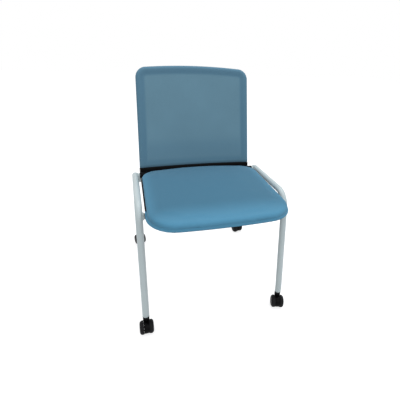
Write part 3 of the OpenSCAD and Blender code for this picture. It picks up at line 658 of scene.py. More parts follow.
def bent_tube(node, name, finish, sides=64):
    """A side frame's tube as one clean sweep, open at its feet, in the place of its node."""
    sizes = bpy.context.scene.chair_sizes
    low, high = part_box(node)
    middle_x, front_y = (low.x + high.x) / 2, low.y + sizes.tube_r
    route = bent_route(TUBE_CORNERS, TUBE_BENDS)
    bore = [step for step in reversed(route) if step[0][1] < sizes.tube_bore_z]
    middle = TUBE_CORNERS[-1][0] / 2
    inner_r = sizes.tube_r - sizes.tube_wall
    rings = [(step, inner_r) for step in bore if step[0][0] < middle]
    rings += [(step, sizes.tube_r) for step in route]
    rings += [(step, inner_r) for step in bore if step[0][0] > middle]
    points = []
    for (place, way), radius in rings:
        for a in (FULL_TURN * i / sides for i in range(sides)):
            out = radius * math.cos(a)
            y, z = place[0] - out * way[1], place[1] + out * way[0]
            points.append((middle_x + radius * math.sin(a), front_y + y, z))
    piece = new_piece(name, points, skin(len(rings), sides), finish)
    tidy_mesh(piece.data)
    return piece


def lathe(profile, turns, matrix, closed=False):
    """Points and faces of a profile of (radius, height) turned about local Z."""
    count = len(profile)
    angles = np.arange(turns) * FULL_TURN / turns
    radius, height = np.array(profile, float).T
    across = [np.outer(np.cos(angles), radius), np.outer(np.sin(angles), radius)]
    points = np.stack([*across, np.tile(height, (turns, 1))], axis=-1).reshape(-1, 3)
    faces = []
    for i in range(turns):
        here, there = i * count, (i + 1) % turns * count
        for k in range(count if closed else count - 1):
            m = (k + 1) % count
            faces.append((here + k, there + k, there + m, here + m))
    return moved(points, matrix), faces


def corner_arc(centre, radius, start, end, steps):
    """Points of an arc in a profile, with angles in degrees."""
    return [
        (
            centre[0] + radius * math.cos(math.radians(a)),
            centre[1] + radius * math.sin(math.radians(a)),
        )
        for a in np.linspace(start, end, steps + 1)
    ]


def turned_piece(name, profile, turns, matrix, finish, sharp_deg=40.0, closed=True):
    """A piece turned on the lathe, tidy and facing outward."""
    piece = new_piece(name, *lathe(profile, turns, matrix, closed), finish)
    tidy_mesh(piece.data, sharp_deg=sharp_deg)
    return piece


def axis_frame(origin, direction):
    """A matrix whose Z runs along the direction."""
    turn = Vector(direction).to_track_quat("Z", "Y").to_matrix().to_4x4()
    return Matrix.Translation(origin) @ turn


def as_rows(collection, key):
    """A vector of each item, as the rows of an array."""
    values = np.empty(len(collection) * 3, np.float32)
    collection.foreach_get(key, values)
    return values.reshape(-1, 3).astype(float)


def mesh_points(mesh):
    """A mesh's vertices as an array."""
    return as_rows(mesh.vertices, "co")


def mesh_normals(mesh):
    """A mesh's vertex normals as an array."""
    return as_rows(mesh.vertex_normals, "vector")


def node_points(node):
    """A node's vertices in the frame."""
    return mesh_points(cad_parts[node].data)


def middle_of(node):
    """The middle and the half height of a node's box."""
    low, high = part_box(node)
    return (low + high) / 2, (high.z - low.z) / 2


def islands(node):
    """The separate solids of a node, each as an array of points."""
    work = welded(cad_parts[node].data)
    left, found = set(work.verts), []
    while left:
        front, solid = [left.pop()], []
        while front:
            vert = front.pop()
            solid.append(tuple(vert.co))
            for edge in vert.link_edges:
                other = edge.other_vert(vert)
                if other in left:
                    left.remove(other)
                    front.append(other)
        found.append(np.array(solid))
    work.free()
    return sorted(found, key=lambda s: tuple(np.round(s.mean(0), 4)))


def new_tree(name, **inputs):
    """A geometry tree with its named inputs, and their sockets."""
    tree = bpy.data.node_groups.new(name, "GeometryNodeTree")
    for label, kind in {"Geometry": "Geometry", **inputs}.items():
        tree.interface.new_socket(label, in_out="INPUT", socket_type=f"NodeSocket{kind}")
    tree.interface.new_socket("Geometry", in_out="OUTPUT", socket_type="NodeSocketGeometry")
    return tree, add_node(tree, "NodeGroupInput").outputs


def add_tree(piece, tree, **values):
    """Adds the tree as a modifier and sets its inputs by identifier."""
    modifier = piece.modifiers.new(tree.name, "NODES")
    modifier.node_group = tree
    for item in tree.interface.items_tree:
        if item.in_out == "INPUT" and item.name in values:
            modifier[item.identifier] = values[item.name]


def finish_tree(tree, given, instances):
    """Ends a tree in Realize Instances, smooth shading and Set Material."""
    real = add_node(tree, "GeometryNodeRealizeInstances", None, {"Geometry": instances})
    smooth = add_node(
        tree, "GeometryNodeSetShadeSmooth", None, {"Geometry": real.outputs["Geometry"]}
    )
    painted = add_node(
        tree, "GeometryNodeSetMaterial", None,
        {"Geometry": smooth.outputs["Geometry"], "Material": given["Material"]},
    )
    add_node(tree, "NodeGroupOutput", None, {"Geometry": painted.outputs["Geometry"]})
    return tree


def set_on_points(tree, given, points, instance, axis, scale):
    """Sets an instance on every point with its Z along the axis, and ends the tree."""
    turned = add_node(tree, "FunctionNodeAlignRotationToVector", {"axis": "Z"}, {"Vector": axis})
    placed = add_node(
        tree, "GeometryNodeInstanceOnPoints", None,
        {"Points": points, "Instance": instance, "Rotation": turned.outputs["Rotation"],
         "Scale": scale},
    )
    return finish_tree(tree, given, placed.outputs["Instances"])


def path_curve(name, paths, closed):
    """A curve object with one poly spline for each path."""
    curve = bpy.data.curves.new(name, "CURVE")
    curve.dimensions = "3D"
    for path in paths:
        spline = curve.splines.new("POLY")
        spline.points.add(len(path) - 1)
        places = np.column_stack([path, np.ones(len(path))])
        spline.points.foreach_set("co", places.astype(np.float32).ravel())
        spline.use_cyclic_u = closed
    return linked(name, curve)


def along_path_tree():
    """Small rounded grains set at even steps along curves, stretched along them."""
    tree, given = new_tree(
        "grains_along_path", Pitch="Float", Thickness="Float", Length="Float", Material="Material"
    )
    points = add_node(
        tree, "GeometryNodeCurveToPoints", {"mode": "LENGTH"},
        {"Curve": given["Geometry"], "Length": given["Pitch"]},
    ).outputs
    grain = add_node(
        tree, "GeometryNodeMeshUVSphere", None, {"Segments": 8, "Rings": 6, "Radius": 0.5}
    )
    size = add_node(
        tree, "ShaderNodeCombineXYZ", None,
        {"X": given["Thickness"], "Y": given["Thickness"], "Z": given["Length"]},
    )
    return set_on_points(
        tree, given, points["Points"], grain.outputs["Mesh"], points["Tangent"],
        size.outputs["Vector"],
    )


def grains(name, paths, closed, pitch, thickness, grain_length, finish):
    """A mesh of grains along paths: stitches, or the ripples of a weld."""
    piece = path_curve(name, paths, closed)
    tree = bpy.data.node_groups.get("grains_along_path") or along_path_tree()
    add_tree(
        piece, tree, Pitch=pitch, Thickness=thickness, Length=grain_length,
        Material=finish_named(finish),
    )
    return baked(piece)


def screw_heads_tree():
    """One template set on every point, turned to the point's own axis."""
    tree, given = new_tree(
        "screws_on_points", Template="Object", Size="Float", Material="Material"
    )
    template = add_node(tree, "GeometryNodeObjectInfo", None, {"Object": given["Template"]})
    axis = add_node(
        tree, "GeometryNodeInputNamedAttribute", {"data_type": "FLOAT_VECTOR"}, {"Name": "axis"}
    )
    return set_on_points(
        tree, given, given["Geometry"], template.outputs["Geometry"],
        axis.outputs["Attribute"], given["Size"],
    )


def ribs_tree():
    """Crossing ribs swept along curves, with a rounded top."""
    tree, given = new_tree(
        "ribs_along_path", Height="Float", Thickness="Float", Material="Material"
    )
    profile = add_node(
        tree, "GeometryNodeCurvePrimitiveQuadrilateral", None,
        {"Width": given["Thickness"], "Height": given["Height"]},
    )
    soft = add_node(
        tree, "GeometryNodeFilletCurve", {"mode": "POLY"},
        {"Curve": profile.outputs["Curve"], "Count": 3,
         "Radius": maths(tree, "MULTIPLY", given["Thickness"], 0.3)},
    )
    swept = add_node(
        tree, "GeometryNodeCurveToMesh", None,
        {"Curve": given["Geometry"], "Profile Curve": soft.outputs["Curve"], "Fill Caps": True},
    )
    return finish_tree(tree, given, swept.outputs["Mesh"])


def taper_tops(piece, height, share):
    """Draws the plugs in at their tops, so that they clear the bends above the feet."""
    tube_r = bpy.context.scene.chair_sizes.tube_r
    feet = []
    for side in SIDES:
        low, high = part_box(f"side_tube_{side}")
        feet += [((low.x + high.x) / 2, y) for y in (low.y + tube_r, high.y - tube_r)]
    for vertex in piece.data.vertices:
        if vertex.co.z > height:
            foot = min(feet, key=lambda f: math.dist(f, vertex.co.xy))
            vertex.co.x = foot[0] + (vertex.co.x - foot[0]) * share
            vertex.co.y = foot[1] + (vertex.co.y - foot[1]) * share


class CHAIR_OT_frame(bpy.types.Operator):
    """Coats the steel frame, its pegs, pins, plugs and stems"""

    bl_idname = "chair.frame"
    bl_label = "Steel Frame"

    def execute(self, context):
        sizes = context.scene.chair_sizes
        for side in SIDES:
            tube = bent_tube(f"side_tube_{side}", f"tube_{side}", "powder_coat")
            place_piece(tube, "frame", [f"side_tube_{side}"])
            rounded_piece(
                f"back_post_{side}", f"post_{side}", "powder_coat", "frame", "frame_paint",
                POST_EDGE,
            )
            coat_nodes([f"hinge_pin_{side}", f"rest_peg_{side}"], "powder_coat")
        coat_nodes(["rear_cross_tube"], "powder_coat")
        coat_nodes(["caster_stems"], "plated_steel")
        coat_nodes(["back_loop"], "coated_steel")
        plugs = rounded_copy("leg_plugs", "tube_plugs", "moulding", PLUG_EDGE)
        taper_tops(plugs, sizes.plug_taper_z, 0.7)
        place_piece(plugs, "frame", ["leg_plugs"])
        return {"FINISHED"}


def ring_on_tube(tube, centre, axis, radius, steps=56):
    """Where a round bar meets a tube: rays along the bar's axis, cast from round its edge.

    A ray that passes beside the tube gives the nearest place on the tube."""
    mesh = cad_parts[tube].data
    tree = BVHTree.FromPolygons(
        [v.co for v in mesh.vertices], [tuple(p.vertices) for p in mesh.polygons]
    )
    turn = axis_frame(centre, axis)
    found = []
    for a in (FULL_TURN * i / steps for i in range(steps)):
        start = turn @ Vector((radius * math.cos(a), radius * math.sin(a), 0.0))
        hit = tree.ray_cast(start, Vector(axis))[0]
        if hit is None:
            hit = tree.find_nearest(Vector((middle_of(tube)[0].x, start.y, start.z)))[0]
        found.append(tuple(hit))
    return np.array(found)


class CHAIR_OT_welds(bpy.types.Operator):
    """Lays rippled weld beads where bars meet the side tubes"""

    bl_idname = "chair.welds"
    bl_label = "Weld Beads"

    def execute(self, context):
        sizes = context.scene.chair_sizes
        paths = []
        for side, sign in zip(SIDES, (-1, 1)):
            for bar, share in (("rear_cross_tube", 1.0), (f"hinge_pin_{side}", 0.98)):
                middle, radius = middle_of(bar)
                centre = Vector((0.0, middle.y, middle.z))
                paths.append(
                    ring_on_tube(f"side_tube_{side}", centre, (sign, 0, 0), radius * share)
                )
        thick = 2 * sizes.bead_r
        beads = grains(
            "weld_beads", paths, True, sizes.bead_pitch, thick, thick, "powder_coat"
        )
        place_piece(beads, "frame")
        return {"FINISHED"}


def shrunk_pad(sizes):
    """The pad's own solid, drawn in a little, as a fine even mesh."""
    name = "seat_cushion"
    piece = linked(name, poured(solid_copy("seat_pad"), bpy.data.meshes.new(name)))
    for kind, settings in (
        ("REMESH", {"mode": "VOXEL", "voxel_size": sizes.pad_voxel, "use_smooth_shade": True}),
        ("DISPLACE", {"strength": -sizes.pad_start_in, "mid_level": 0.0}),
        ("SMOOTH", {"factor": 0.5, "iterations": 4}),
    ):
        put_modifier(piece, kind, **settings)
    return baked(piece)


def evened(mesh, values, rounds):
    """Values of the vertices averaged with those of their neighbours."""
    ends = np.empty(len(mesh.edges) * 2, np.int32)
    mesh.edges.foreach_get("vertices", ends)
    first, second = ends.reshape(-1, 2).T
    count = np.bincount(ends, minlength=len(values))[:, None]
    for _ in range(rounds):
        total = np.zeros_like(values)
        np.add.at(total, first, values[second])
        np.add.at(total, second, values[first])
        values = (values + total / np.maximum(count, 1)) / 2
    return values


def store(mesh, name, values):
    """Keeps a number or a vector for each vertex."""
    values = np.asarray(values, np.float32)
    kind, key = ("FLOAT_VECTOR", "vector") if values.ndim == 2 else ("FLOAT", "value")
    mesh.attributes.new(name, kind, "POINT").data.foreach_set(key, values.ravel())


def set_points(mesh, points):
    """Moves the mesh's vertices."""
    mesh.vertices.foreach_set("co", points.astype(np.float32).ravel())
    mesh.update()


def keep_near(mesh, node, inside, outside):
    """Brings each vertex to within the two distances of the node's surface."""
    work = solid_copy(node)
    tree = BVHTree.FromBMesh(work)
    work.free()
    points = mesh_points(mesh)
    for index, point in enumerate(points):
        place, normal = tree.find_nearest(Vector(point))[:2]
        away = Vector(point) - place
        limit = outside if away.dot(normal) >= 0 else inside
        if away.length > limit:
            points[index] = place + away * (limit / away.length)
    set_points(mesh, points)


def inflate(piece, cap, held, frames=20, rounds=24):
    """Swells the closed cloth with air, held where the group says, and caps each move."""
    group = piece.vertex_groups.new(name="held")
    for index in np.nonzero(held)[0]:
        group.add([int(index)], 1.0, "REPLACE")
    rest = mesh_points(piece.data)
    cloth = piece.modifiers.new("Cloth", "CLOTH")
    for key, value in CLOTH_SETTINGS.items():
        setattr(cloth.settings, key, value)
    cloth.settings.effector_weights.gravity = 0
    cloth.collision_settings.use_collision = False
    cloth.point_cache.frame_start = 1
    cloth.point_cache.frame_end = frames
    scene = bpy.context.scene
    for number in range(1, frames + 1):
        scene.frame_set(number)
    graph = bpy.context.evaluated_depsgraph_get()
    swollen = mesh_points(piece.evaluated_get(graph).data)
    piece.modifiers.remove(cloth)
    piece.vertex_groups.clear()
    scene.frame_set(1)
    step = evened(piece.data, swollen - rest, rounds)
    far = np.linalg.norm(step, axis=1, keepdims=True)
    step *= cap * np.tanh(far / cap) / np.maximum(far, 1e-9)
    set_points(piece.data, rest + step)


class CHAIR_OT_cushion(bpy.types.Operator):
    """Makes the crowned seat cushion by simulation and lays its cloth round the edge"""

    bl_idname = "chair.cushion"
    bl_label = "Seat Cushion"

    def execute(self, context):
        sizes = context.scene.chair_sizes
        piece = shrunk_pad(sizes)
        to_seat = seat_frame().inverted()
        height = moved(mesh_points(piece.data), to_seat)[:, 2]
        floor_w = height.min() + sizes.pad_start_in
        inflate(piece, sizes.pad_swell, height < floor_w + sizes.pad_start_in / 2)
        keep_near(piece.data, "seat_pad", sizes.pad_slack, sizes.pad_proud)
        put_modifier(piece, "SUBSURF", levels=1, render_levels=1)
        mesh = baked(piece).data
        local = moved(mesh_points(mesh), to_seat)
        out = moved(mesh_normals(mesh), to_seat.to_3x3().to_4x4())[:, :2]
        out = out / np.maximum(np.linalg.norm(out, axis=1, keepdims=True), 1e-6)
        drop = np.maximum(0.0, sizes.pad_rise - local[:, 2])[:, None]
        flat = np.zeros((len(local), 3))
        flat[:, :2] = local[:, :2] + out * drop
        store(mesh, "cloth", flat)
        # Painted sheen: the cloth is painted paler towards the front roll and the sides of the
        # cushion.
        front = smooth_step(1 - local[:, 1] / sizes.sheen_front)
        side = smooth_step(1 - (sizes.seat_w / 2 - np.abs(local[:, 0])) / sizes.sheen_side)
        store(mesh, "stretch", np.maximum(front, 0.6 * side))
        coat(mesh, "seat_weave")
        mesh.shade_smooth()
        place_piece(piece, "seat", ["seat_pad"])
        return {"FINISHED"}


def seat_outline(sizes, steps=14):
    """Right half of the shell's outline from the front middle to behind the front corner.

    Each entry is (x, distance behind the front edge, outward x, outward y)."""
    flat = sizes.seat_w / 2 - sizes.seat_front_r
    line = []
    for t in np.linspace(0.0, 1.0, steps)[:-1]:
        slope = 2 * sizes.seat_front_bow * t / flat
        size = math.hypot(1.0, slope)
        line.append((flat * t, -sizes.seat_front_bow * (1 - t * t), slope / size, -1 / size))
    for a in np.linspace(-math.pi / 2, 0.0, 2 * steps):
        line.append((
            flat + sizes.seat_front_r * math.cos(a), sizes.seat_front_r * (1 + math.sin(a)),
            math.cos(a), math.sin(a),
        ))
    for y in np.linspace(sizes.seat_front_r, sizes.lip_end, 6)[1:]:
        line.append((sizes.seat_w / 2, y, 1.0, 0.0))
    return line


class CHAIR_OT_cloth_lip(bpy.types.Operator):
    """Draws the seat's cloth down over the front edge and the front corners of the shell"""

    bl_idname = "chair.cloth_lip"
    bl_label = "Cloth Lip"

    def execute(self, context):
        sizes = context.scene.chair_sizes
        half = seat_outline(sizes)
        line = [(-x, y, -u, v) for x, y, u, v in half[:0:-1]] + half
        fade = (sizes.lip_end - sizes.lip_fade, sizes.lip_end)
        low_z = shell_top_z()
        reach = cushion_reach(low_z)
        gap, rings, flat = sizes.lip_gap, [], []
        for x, y, out_x, out_y in line:
            left = 1.0 - 0.96 * float(smooth_step((y - fade[0]) / (fade[1] - fade[0])))
            proud, down, up = sizes.lip_t * left + gap, sizes.lip_drop * left, sizes.lip_up * left
            low, middle, high = (
                reach(x, y, out_x, out_y, share * up) + gap / 2 for share in (0.3, 0.65, 1.0)
            )
            wide = max(low, middle, high) + 0.6 * sizes.lip_t * left
            section = [
                (gap, -0.9 * down), (gap, 0.0), (low, 0.3 * up), (middle, 0.65 * up), (high, up),
                (0.5 * (high + wide), 0.93 * up), (wide, 0.68 * up),
                (0.7 * wide + 0.3 * proud, 0.3 * up), (0.35 * wide + 0.65 * proud, -0.1 * down),
                (proud, -0.5 * down), (proud, -0.84 * down), (0.75 * proud, -down),
            ]
            rings += [(x + o * out_x, y + o * out_y, low_z + z) for o, z in section]
            flat += [(x + (o - z) * out_x, y + (o - z) * out_y, 0.0) for o, z in section]
        points = moved(rings, seat_frame())
        piece = new_piece("cloth_lip", points, skin(len(line), len(section)), "seat_weave")
        store(piece.data, "cloth", flat)
        # The lip takes the full painted sheen of the front roll.
        store(piece.data, "stretch", np.ones(len(points)))
        tidy_mesh(piece.data, merge=1e-7, sharp_deg=80.0)
        place_piece(piece, "seat")
        return {"FINISHED"}


def cushion_reach(low_z, far=0.03):
    """A probe of how far the cushion stands out of the shell's outline at a height over it."""
    mesh = bpy.data.objects["seat_cushion"].data
    points = moved(mesh_points(mesh), seat_frame().inverted())
    tree = BVHTree.FromPolygons(
        [tuple(p) for p in points], [tuple(p.vertices) for p in mesh.polygons]
    )

    def reach(x, y, out_x, out_y, z):
        start = Vector((x + far * out_x, y + far * out_y, low_z + z))
        away = tree.ray_cast(start, Vector((-out_x, -out_y, 0.0)), 2 * far)[3]
        return far - away if away is not None else 0.0

    return reach


def shell_top_z():
    """Height of the shell's rim over the seat's middle plane, at the front."""
    return moved(node_points("seat_shell"), seat_frame().inverted())[:, 2].max()


class CHAIR_OT_seat_shell(bpy.types.Operator):
    """Makes the shell with rounded edges and crossing ribs under it, and finishes the board"""

    bl_idname = "chair.seat_shell"
    bl_label = "Seat Shell"

    def execute(self, context):
        sizes = context.scene.chair_sizes
        rounded_piece("seat_shell", "seat_pan", "moulding", "seat", "black_plastic", PAN_EDGE)
        coat_nodes(["seat_board"], "birch_ply")
        to_seat = seat_frame()
        local = moved(node_points("seat_shell"), to_seat.inverted())
        low = local[:, 2].min() - sizes.rib_h / 2
        width = 2 * sizes.rib_pitch
        first, last = 0.16 * sizes.seat_d, 0.86 * sizes.seat_d
        lines = [
            [(i * sizes.rib_pitch, first, low), (i * sizes.rib_pitch, last, low)]
            for i in range(-2, 3)
        ]
        lines += [[(-width, y, low), (width, y, low)] for y in np.linspace(first, last, 9)]
        ribs = path_curve("shell_ribs", [moved(line, to_seat) for line in lines], False)
        add_tree(
            ribs, ribs_tree(), Height=sizes.rib_h, Thickness=sizes.rib_t,
            Material=finish_named("moulding"),
        )
        place_piece(baked(ribs), "seat")
        return {"FINISHED"}


class CHAIR_OT_hinges(bpy.types.Operator):
    """Rounds the hinge ears and the rest saddles and turns the rest sleeves"""

    bl_idname = "chair.hinges"
    bl_label = "Hinges and Rests"

    def execute(self, context):
        edge = context.scene.chair_sizes.edge_round
        coat_nodes([f"hinge_bush_{side}" for side in SIDES], "moulding")
        for side in SIDES:
            for node, name, rounding in (
                ("hinge_ear", "ear", (edge,)), ("rest_saddle", "saddle", (1.5 * edge, 3))
            ):
                rounded_piece(
                    f"{node}_{side}", f"{name}_{side}", "moulding", "seat", "black_plastic",
                    *rounding,
                )
            sleeve = rest_sleeve(f"rest_sleeve_{side}", f"rest_bumper_{side}")
            place_piece(sleeve, "frame", [f"rest_sleeve_{side}"])
        return {"FINISHED"}


def rest_sleeve(node, name):
    """A rubber sleeve with rounded ends and three shallow grooves, bored for its peg."""
    low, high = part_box(node)
    middle, radius = middle_of(node)
    run = high.x - low.x
    bore = min(np.hypot(p[1] - middle.y, p[2] - middle.z) for p in node_points(node))
    groove, edge = 0.0006, 0.0015
    profile = [(bore, 0.0)] + corner_arc((radius - edge, edge), edge, -90, 0, 4)
    for place in (run * k / 4 for k in range(1, 4)):
        profile += [
            (radius, place - 2 * groove), (radius - groove, place - groove),
            (radius - groove, place + groove), (radius, place + 2 * groove),
        ]
    profile += corner_arc((radius - edge, run - edge), edge, 0, 90, 4) + [(bore, run)]
    matrix = axis_frame(Vector((low.x, middle.y, middle.z)), (1, 0, 0))
    return turned_piece(name, profile, 48, matrix, "rest_rubber")


def back_radius(sizes):
    """Radius of the back's curve from side to side."""
    half = sizes.back_foot_w / 2
    return (half * half + sizes.back_sag * sizes.back_sag) / (2 * sizes.back_sag)


def on_curve(flat, sizes):
    """Lays points of (x, height, offset to the rear) on the back's curve, in the back's frame."""
    flat = np.asarray(flat, float)
    radius = back_radius(sizes)
    s = flat[:, 0] / radius
    c = np.sqrt(1 - s * s)
    return np.stack(
        [flat[:, 0] + flat[:, 2] * s, radius * (c - 1) + flat[:, 2] * c, flat[:, 1]], axis=1
    )


def back_arch(sizes, inset, side_steps=26, corner_steps=12, top_steps=40):
    """The back's outline drawn in by inset, from the right foot over the top to the left foot."""
    top_x = sizes.back_top_w / 2 - sizes.back_corner_r
    top_v = sizes.back_h - sizes.back_corner_r
    radius = sizes.back_corner_r - inset
    foot = sizes.back_foot_w / 2 - inset
    half = [
        (foot + (top_x + radius - foot) * i / side_steps, top_v * i / side_steps)
        for i in range(side_steps)
    ]
    half += [
        (top_x + radius * math.cos(a), top_v + radius * math.sin(a))
        for a in np.linspace(0, math.pi / 2, corner_steps + 1)
    ]
    half += [
        (top_x * t, sizes.back_h - inset + sizes.back_crown * (1 - t * t))
        for t in np.linspace(1, 0, top_steps // 2 + 1)[1:]
    ]
    half = np.array(half)
    other = half[:-1][::-1] * (-1, 1)
    return np.concatenate([half, other])


def smooth_step(t):
    """A soft ramp from 0 to 1."""
    t = np.clip(t, 0, 1)
    return t * t * (3 - 2 * t)


def sleeve_rows(sizes):
    """Rows of the sleeve from the middle of the front over the edge to the middle of the rear.

    Each row is (inset, offset to the rear, scale, share of the border)."""
    round_r = sizes.back_t / 2
    deep = sizes.border_w
    side = []
    for scale in np.linspace(0.0, 1.0, 34)[:-1]:
        side.append((deep, round_r - sizes.skin_dip, scale, 0.0))
    for t in np.linspace(0, 1, 12)[:-1]:
        inset = deep + (round_r - deep) * t
        dip = sizes.skin_dip * smooth_step((1 - t) * 1.25)
        side.append((inset, round_r - dip, 1.0, float(smooth_step(t * 2.2))))
    front = [(i, -o, s, b) for i, o, s, b in side]
    edge = [
        (round_r * (1 - math.cos(a)), round_r * math.sin(a), 1.0, 1.0)
        for a in np.linspace(-math.pi / 2, math.pi / 2, 15)
    ]
    return front + edge + side[::-1]


class CHAIR_OT_sleeve(bpy.types.Operator):
    """Stretches the knitted sleeve over the loop and sews it"""

    bl_idname = "chair.sleeve"
    bl_label = "Knit Sleeve"

    def execute(self, context):
        sizes = context.scene.chair_sizes
        to_back = back_frame()
        rows = sleeve_rows(sizes)
        flat, cloth, border = [], [], []
        for inset, offset, scale, edge in rows:
            arch = back_arch(sizes, inset) * scale
            count = len(arch)
            run = 2 * sizes.back_t if offset > 0 else 0.0
            flat.append(np.column_stack([arch, np.full(count, offset)]))
            cloth.append(np.column_stack([arch, np.full(count, run)]))
            border.append(np.full(count, edge))
        points = moved(on_curve(np.concatenate(flat), sizes), to_back)
        faces = skin(len(rows), count, closed=False, caps=False)
        piece = new_piece("knit_sleeve", points, faces, "back_knit")
        mesh = piece.data
        store(mesh, "cloth", np.concatenate(cloth))
        store(mesh, "border", np.concatenate(border))
        tidy_mesh(mesh, outward=False)
        self.face_outward(mesh, points)
        put_modifier(
            piece, "SOLIDIFY", thickness=sizes.sleeve_t, offset=-1.0, use_even_offset=False,
            use_rim=True,
        )
        smoothed(baked(piece).data, 60.0)
        place_piece(piece, "frame", ["back_sleeve"])
        self.sew(sizes, to_back)
        return {"FINISHED"}

    @staticmethod
    def face_outward(mesh, points):
        """Turns the faces so that the front skin looks forward."""
        middle = points.mean(0)
        total = 0.0
        for polygon in mesh.polygons:
            away = np.array(polygon.center) - middle
            total += float(np.dot(away, polygon.normal)) * polygon.area
        if total < 0:
            mesh.flip_normals()

    @staticmethod
    def sew(sizes, to_back, stitched=80):
        """Stitches round the rear of the sleeve and along its foot."""
        round_r = sizes.back_t / 2
        arch = back_arch(sizes, 1.35 * round_r)
        seam = round_r - 0.0001 + sizes.stitch_d / 4
        reach = sizes.back_foot_w / 2 - 1.2 * round_r
        hem, hem_off = 0.6 * round_r, round_r - sizes.skin_dip * 0.9
        lines = [
            np.column_stack([arch, np.full(len(arch), seam)]),
            [(x, hem, hem_off) for x in np.linspace(-reach, reach, stitched)],
        ]
        paths = [moved(on_curve(line, sizes), to_back) for line in lines]
        stitches = grains(
            "sleeve_stitches", paths, False, sizes.stitch_pitch, sizes.stitch_d,
            sizes.stitch_l, "sewing_thread",
        )
        place_piece(stitches, "frame")


class CHAIR_OT_rail(bpy.types.Operator):
    """Sweeps the black rail under the knit, with rounded edges and ends"""

    bl_idname = "chair.rail"
    bl_label = "Back Rail"

    def execute(self, context):
        sizes = context.scene.chair_sizes
        edge = sizes.rail_round
        low, high = edge - sizes.rail_h, -sizes.rail_gap - edge
        reach = sizes.back_foot_w / 2

        def section(x, shrink):
            a = sizes.rail_t / 2 - shrink - edge
            ring = []
            for centre, start in (
                ((a, high - shrink), 0), ((-a, high - shrink), 90),
                ((-a, low + shrink), 180), ((a, low + shrink), 270),
            ):
                ring += corner_arc(centre, edge, start, start + 90, 4)
            return [(x, v, off) for off, v in ring]

        right = sorted(
            (reach - edge * (1 - math.sin(a)), edge * (1 - math.cos(a)))
            for a in np.linspace(math.pi / 2, 0, 5)
        )
        left = [(-x, shrink) for x, shrink in reversed(right)]
        inner = reach - edge
        middle = [(x, 0.0) for x in np.linspace(-inner, inner, 60)[1:-1]]
        rings = [section(x, shrink) for x, shrink in left + middle + right]
        points = moved(on_curve([p for ring in rings for p in ring], sizes), back_frame())
        piece = new_piece("lower_rail", points, skin(len(rings), len(rings[0])), "moulding")
        tidy_mesh(piece.data)
        place_piece(piece, "frame", ["back_rail"])
        return {"FINISHED"}


def screw_template(head_r, head_h, shank_r, shank_l):
    """A button head with a hexagon socket and its shank, with +Z out of the head."""
    steps, across = 36, 0.42 * head_r
    angles = np.arange(steps) * FULL_TURN / steps
    hexagon = [across / math.cos((a + math.pi / 6) % (math.pi / 3) - math.pi / 6) for a in angles]
    rings = [
        (shank_r, -shank_l), (shank_r, 0.0), (head_r, 0.0), (head_r, 0.25 * head_h),
        (0.93 * head_r, 0.62 * head_h), (0.76 * head_r, 0.9 * head_h), (0.6 * head_r, head_h),
    ]
    socket = [(1.06, head_h), (1.0, 0.94 * head_h), (0.96, 0.25 * head_h)]
    rings = [([r] * steps, z) for r, z in rings]
    rings += [([share * h for h in hexagon], z) for share, z in socket]
    points = [
        (r * math.cos(a), r * math.sin(a), z) for radii, z in rings for r, a in zip(radii, angles)
    ]
    template = new_piece("screw_template", points, skin(len(rings), steps), "plated_steel")
    tidy_mesh(template.data, sharp_deg=SCREW_SHARP)
    return template


class CHAIR_OT_screws(bpy.types.Operator):
    """Sets socket-head screws where the frame has its screws"""

    bl_idname = "chair.screws"
    bl_label = "Screws"

    def execute(self, context):
        tree = screw_heads_tree()
        self.set_screws(tree, "seat_screws", "seat", seat_frame(), (0, 0, -1))
        self.set_screws(tree, "back_screws", "frame", back_frame(), (0, 1, 0))
        return {"FINISHED"}

    @staticmethod
    def set_screws(tree, node, body, place, way):
        """Screws in the node's place, with their heads out along the way."""
        direction = np.array((place.to_3x3() @ Vector(way)).normalized())
        heads, reach = [], []
        for solid in islands(node):
            along = solid @ direction
            top = solid[along > along.max() - 1e-5]
            centre = top.mean(0)
            heads.append((centre, np.linalg.norm(top - centre, axis=1).max()))
            levels = np.unique(np.round(along, 5))
            reach.append((along.max() - levels[-2], levels[-2] - along.min()))
        head_r, head_h = max(h[1] for h in heads), reach[0][0]
        template = screw_template(head_r, head_h, 0.55 * head_r, min(r[1] for r in reach))
        points = np.array([h[0] for h in heads]) - direction * head_h
        piece = new_piece(node.replace("screws", "bolts"), points, [], "plated_steel")
        store(piece.data, "axis", np.tile(direction, (len(points), 1)))
        add_tree(
            piece, tree, Template=template, Size=1.0, Material=finish_named("plated_steel")
        )
        baked(piece)
        bpy.data.objects.remove(template)
        piece.data.set_sharp_from_angle(angle=math.radians(SCREW_SHARP))
        place_piece(piece, body, [node])


def axle_of(caster):
    """The middle and the direction of a caster's axle."""
    points = node_points(f"{caster}_axle")
    middle = (points.min(0) + points.max(0)) / 2
    direction = np.linalg.svd(points - points.mean(0), full_matrices=False)[2][0]
    return middle, direction * (1 if direction[0] > 0 else -1)


def dome_width(radius, outer, width):
    """Width of a wheel at a radius, from its inner face to its domed outer face."""
    start, flat = DOME_START_SHARE * outer, DOME_FLAT_SHARE * width
    part = min(1.0, max(0.0, (radius - start) / (outer - start)))
    return flat + (width - flat) * math.sqrt(1.0 - part * part)


def dome_points(start, end, outer, width, steps=9):
    """Points of the dome from one radius to another, closer where it curves more."""
    radii = [start + (end - start) * math.sin(math.pi / 2 * i / steps) for i in range(steps + 1)]
    return [(r, dome_width(r, outer, width)) for r in radii]


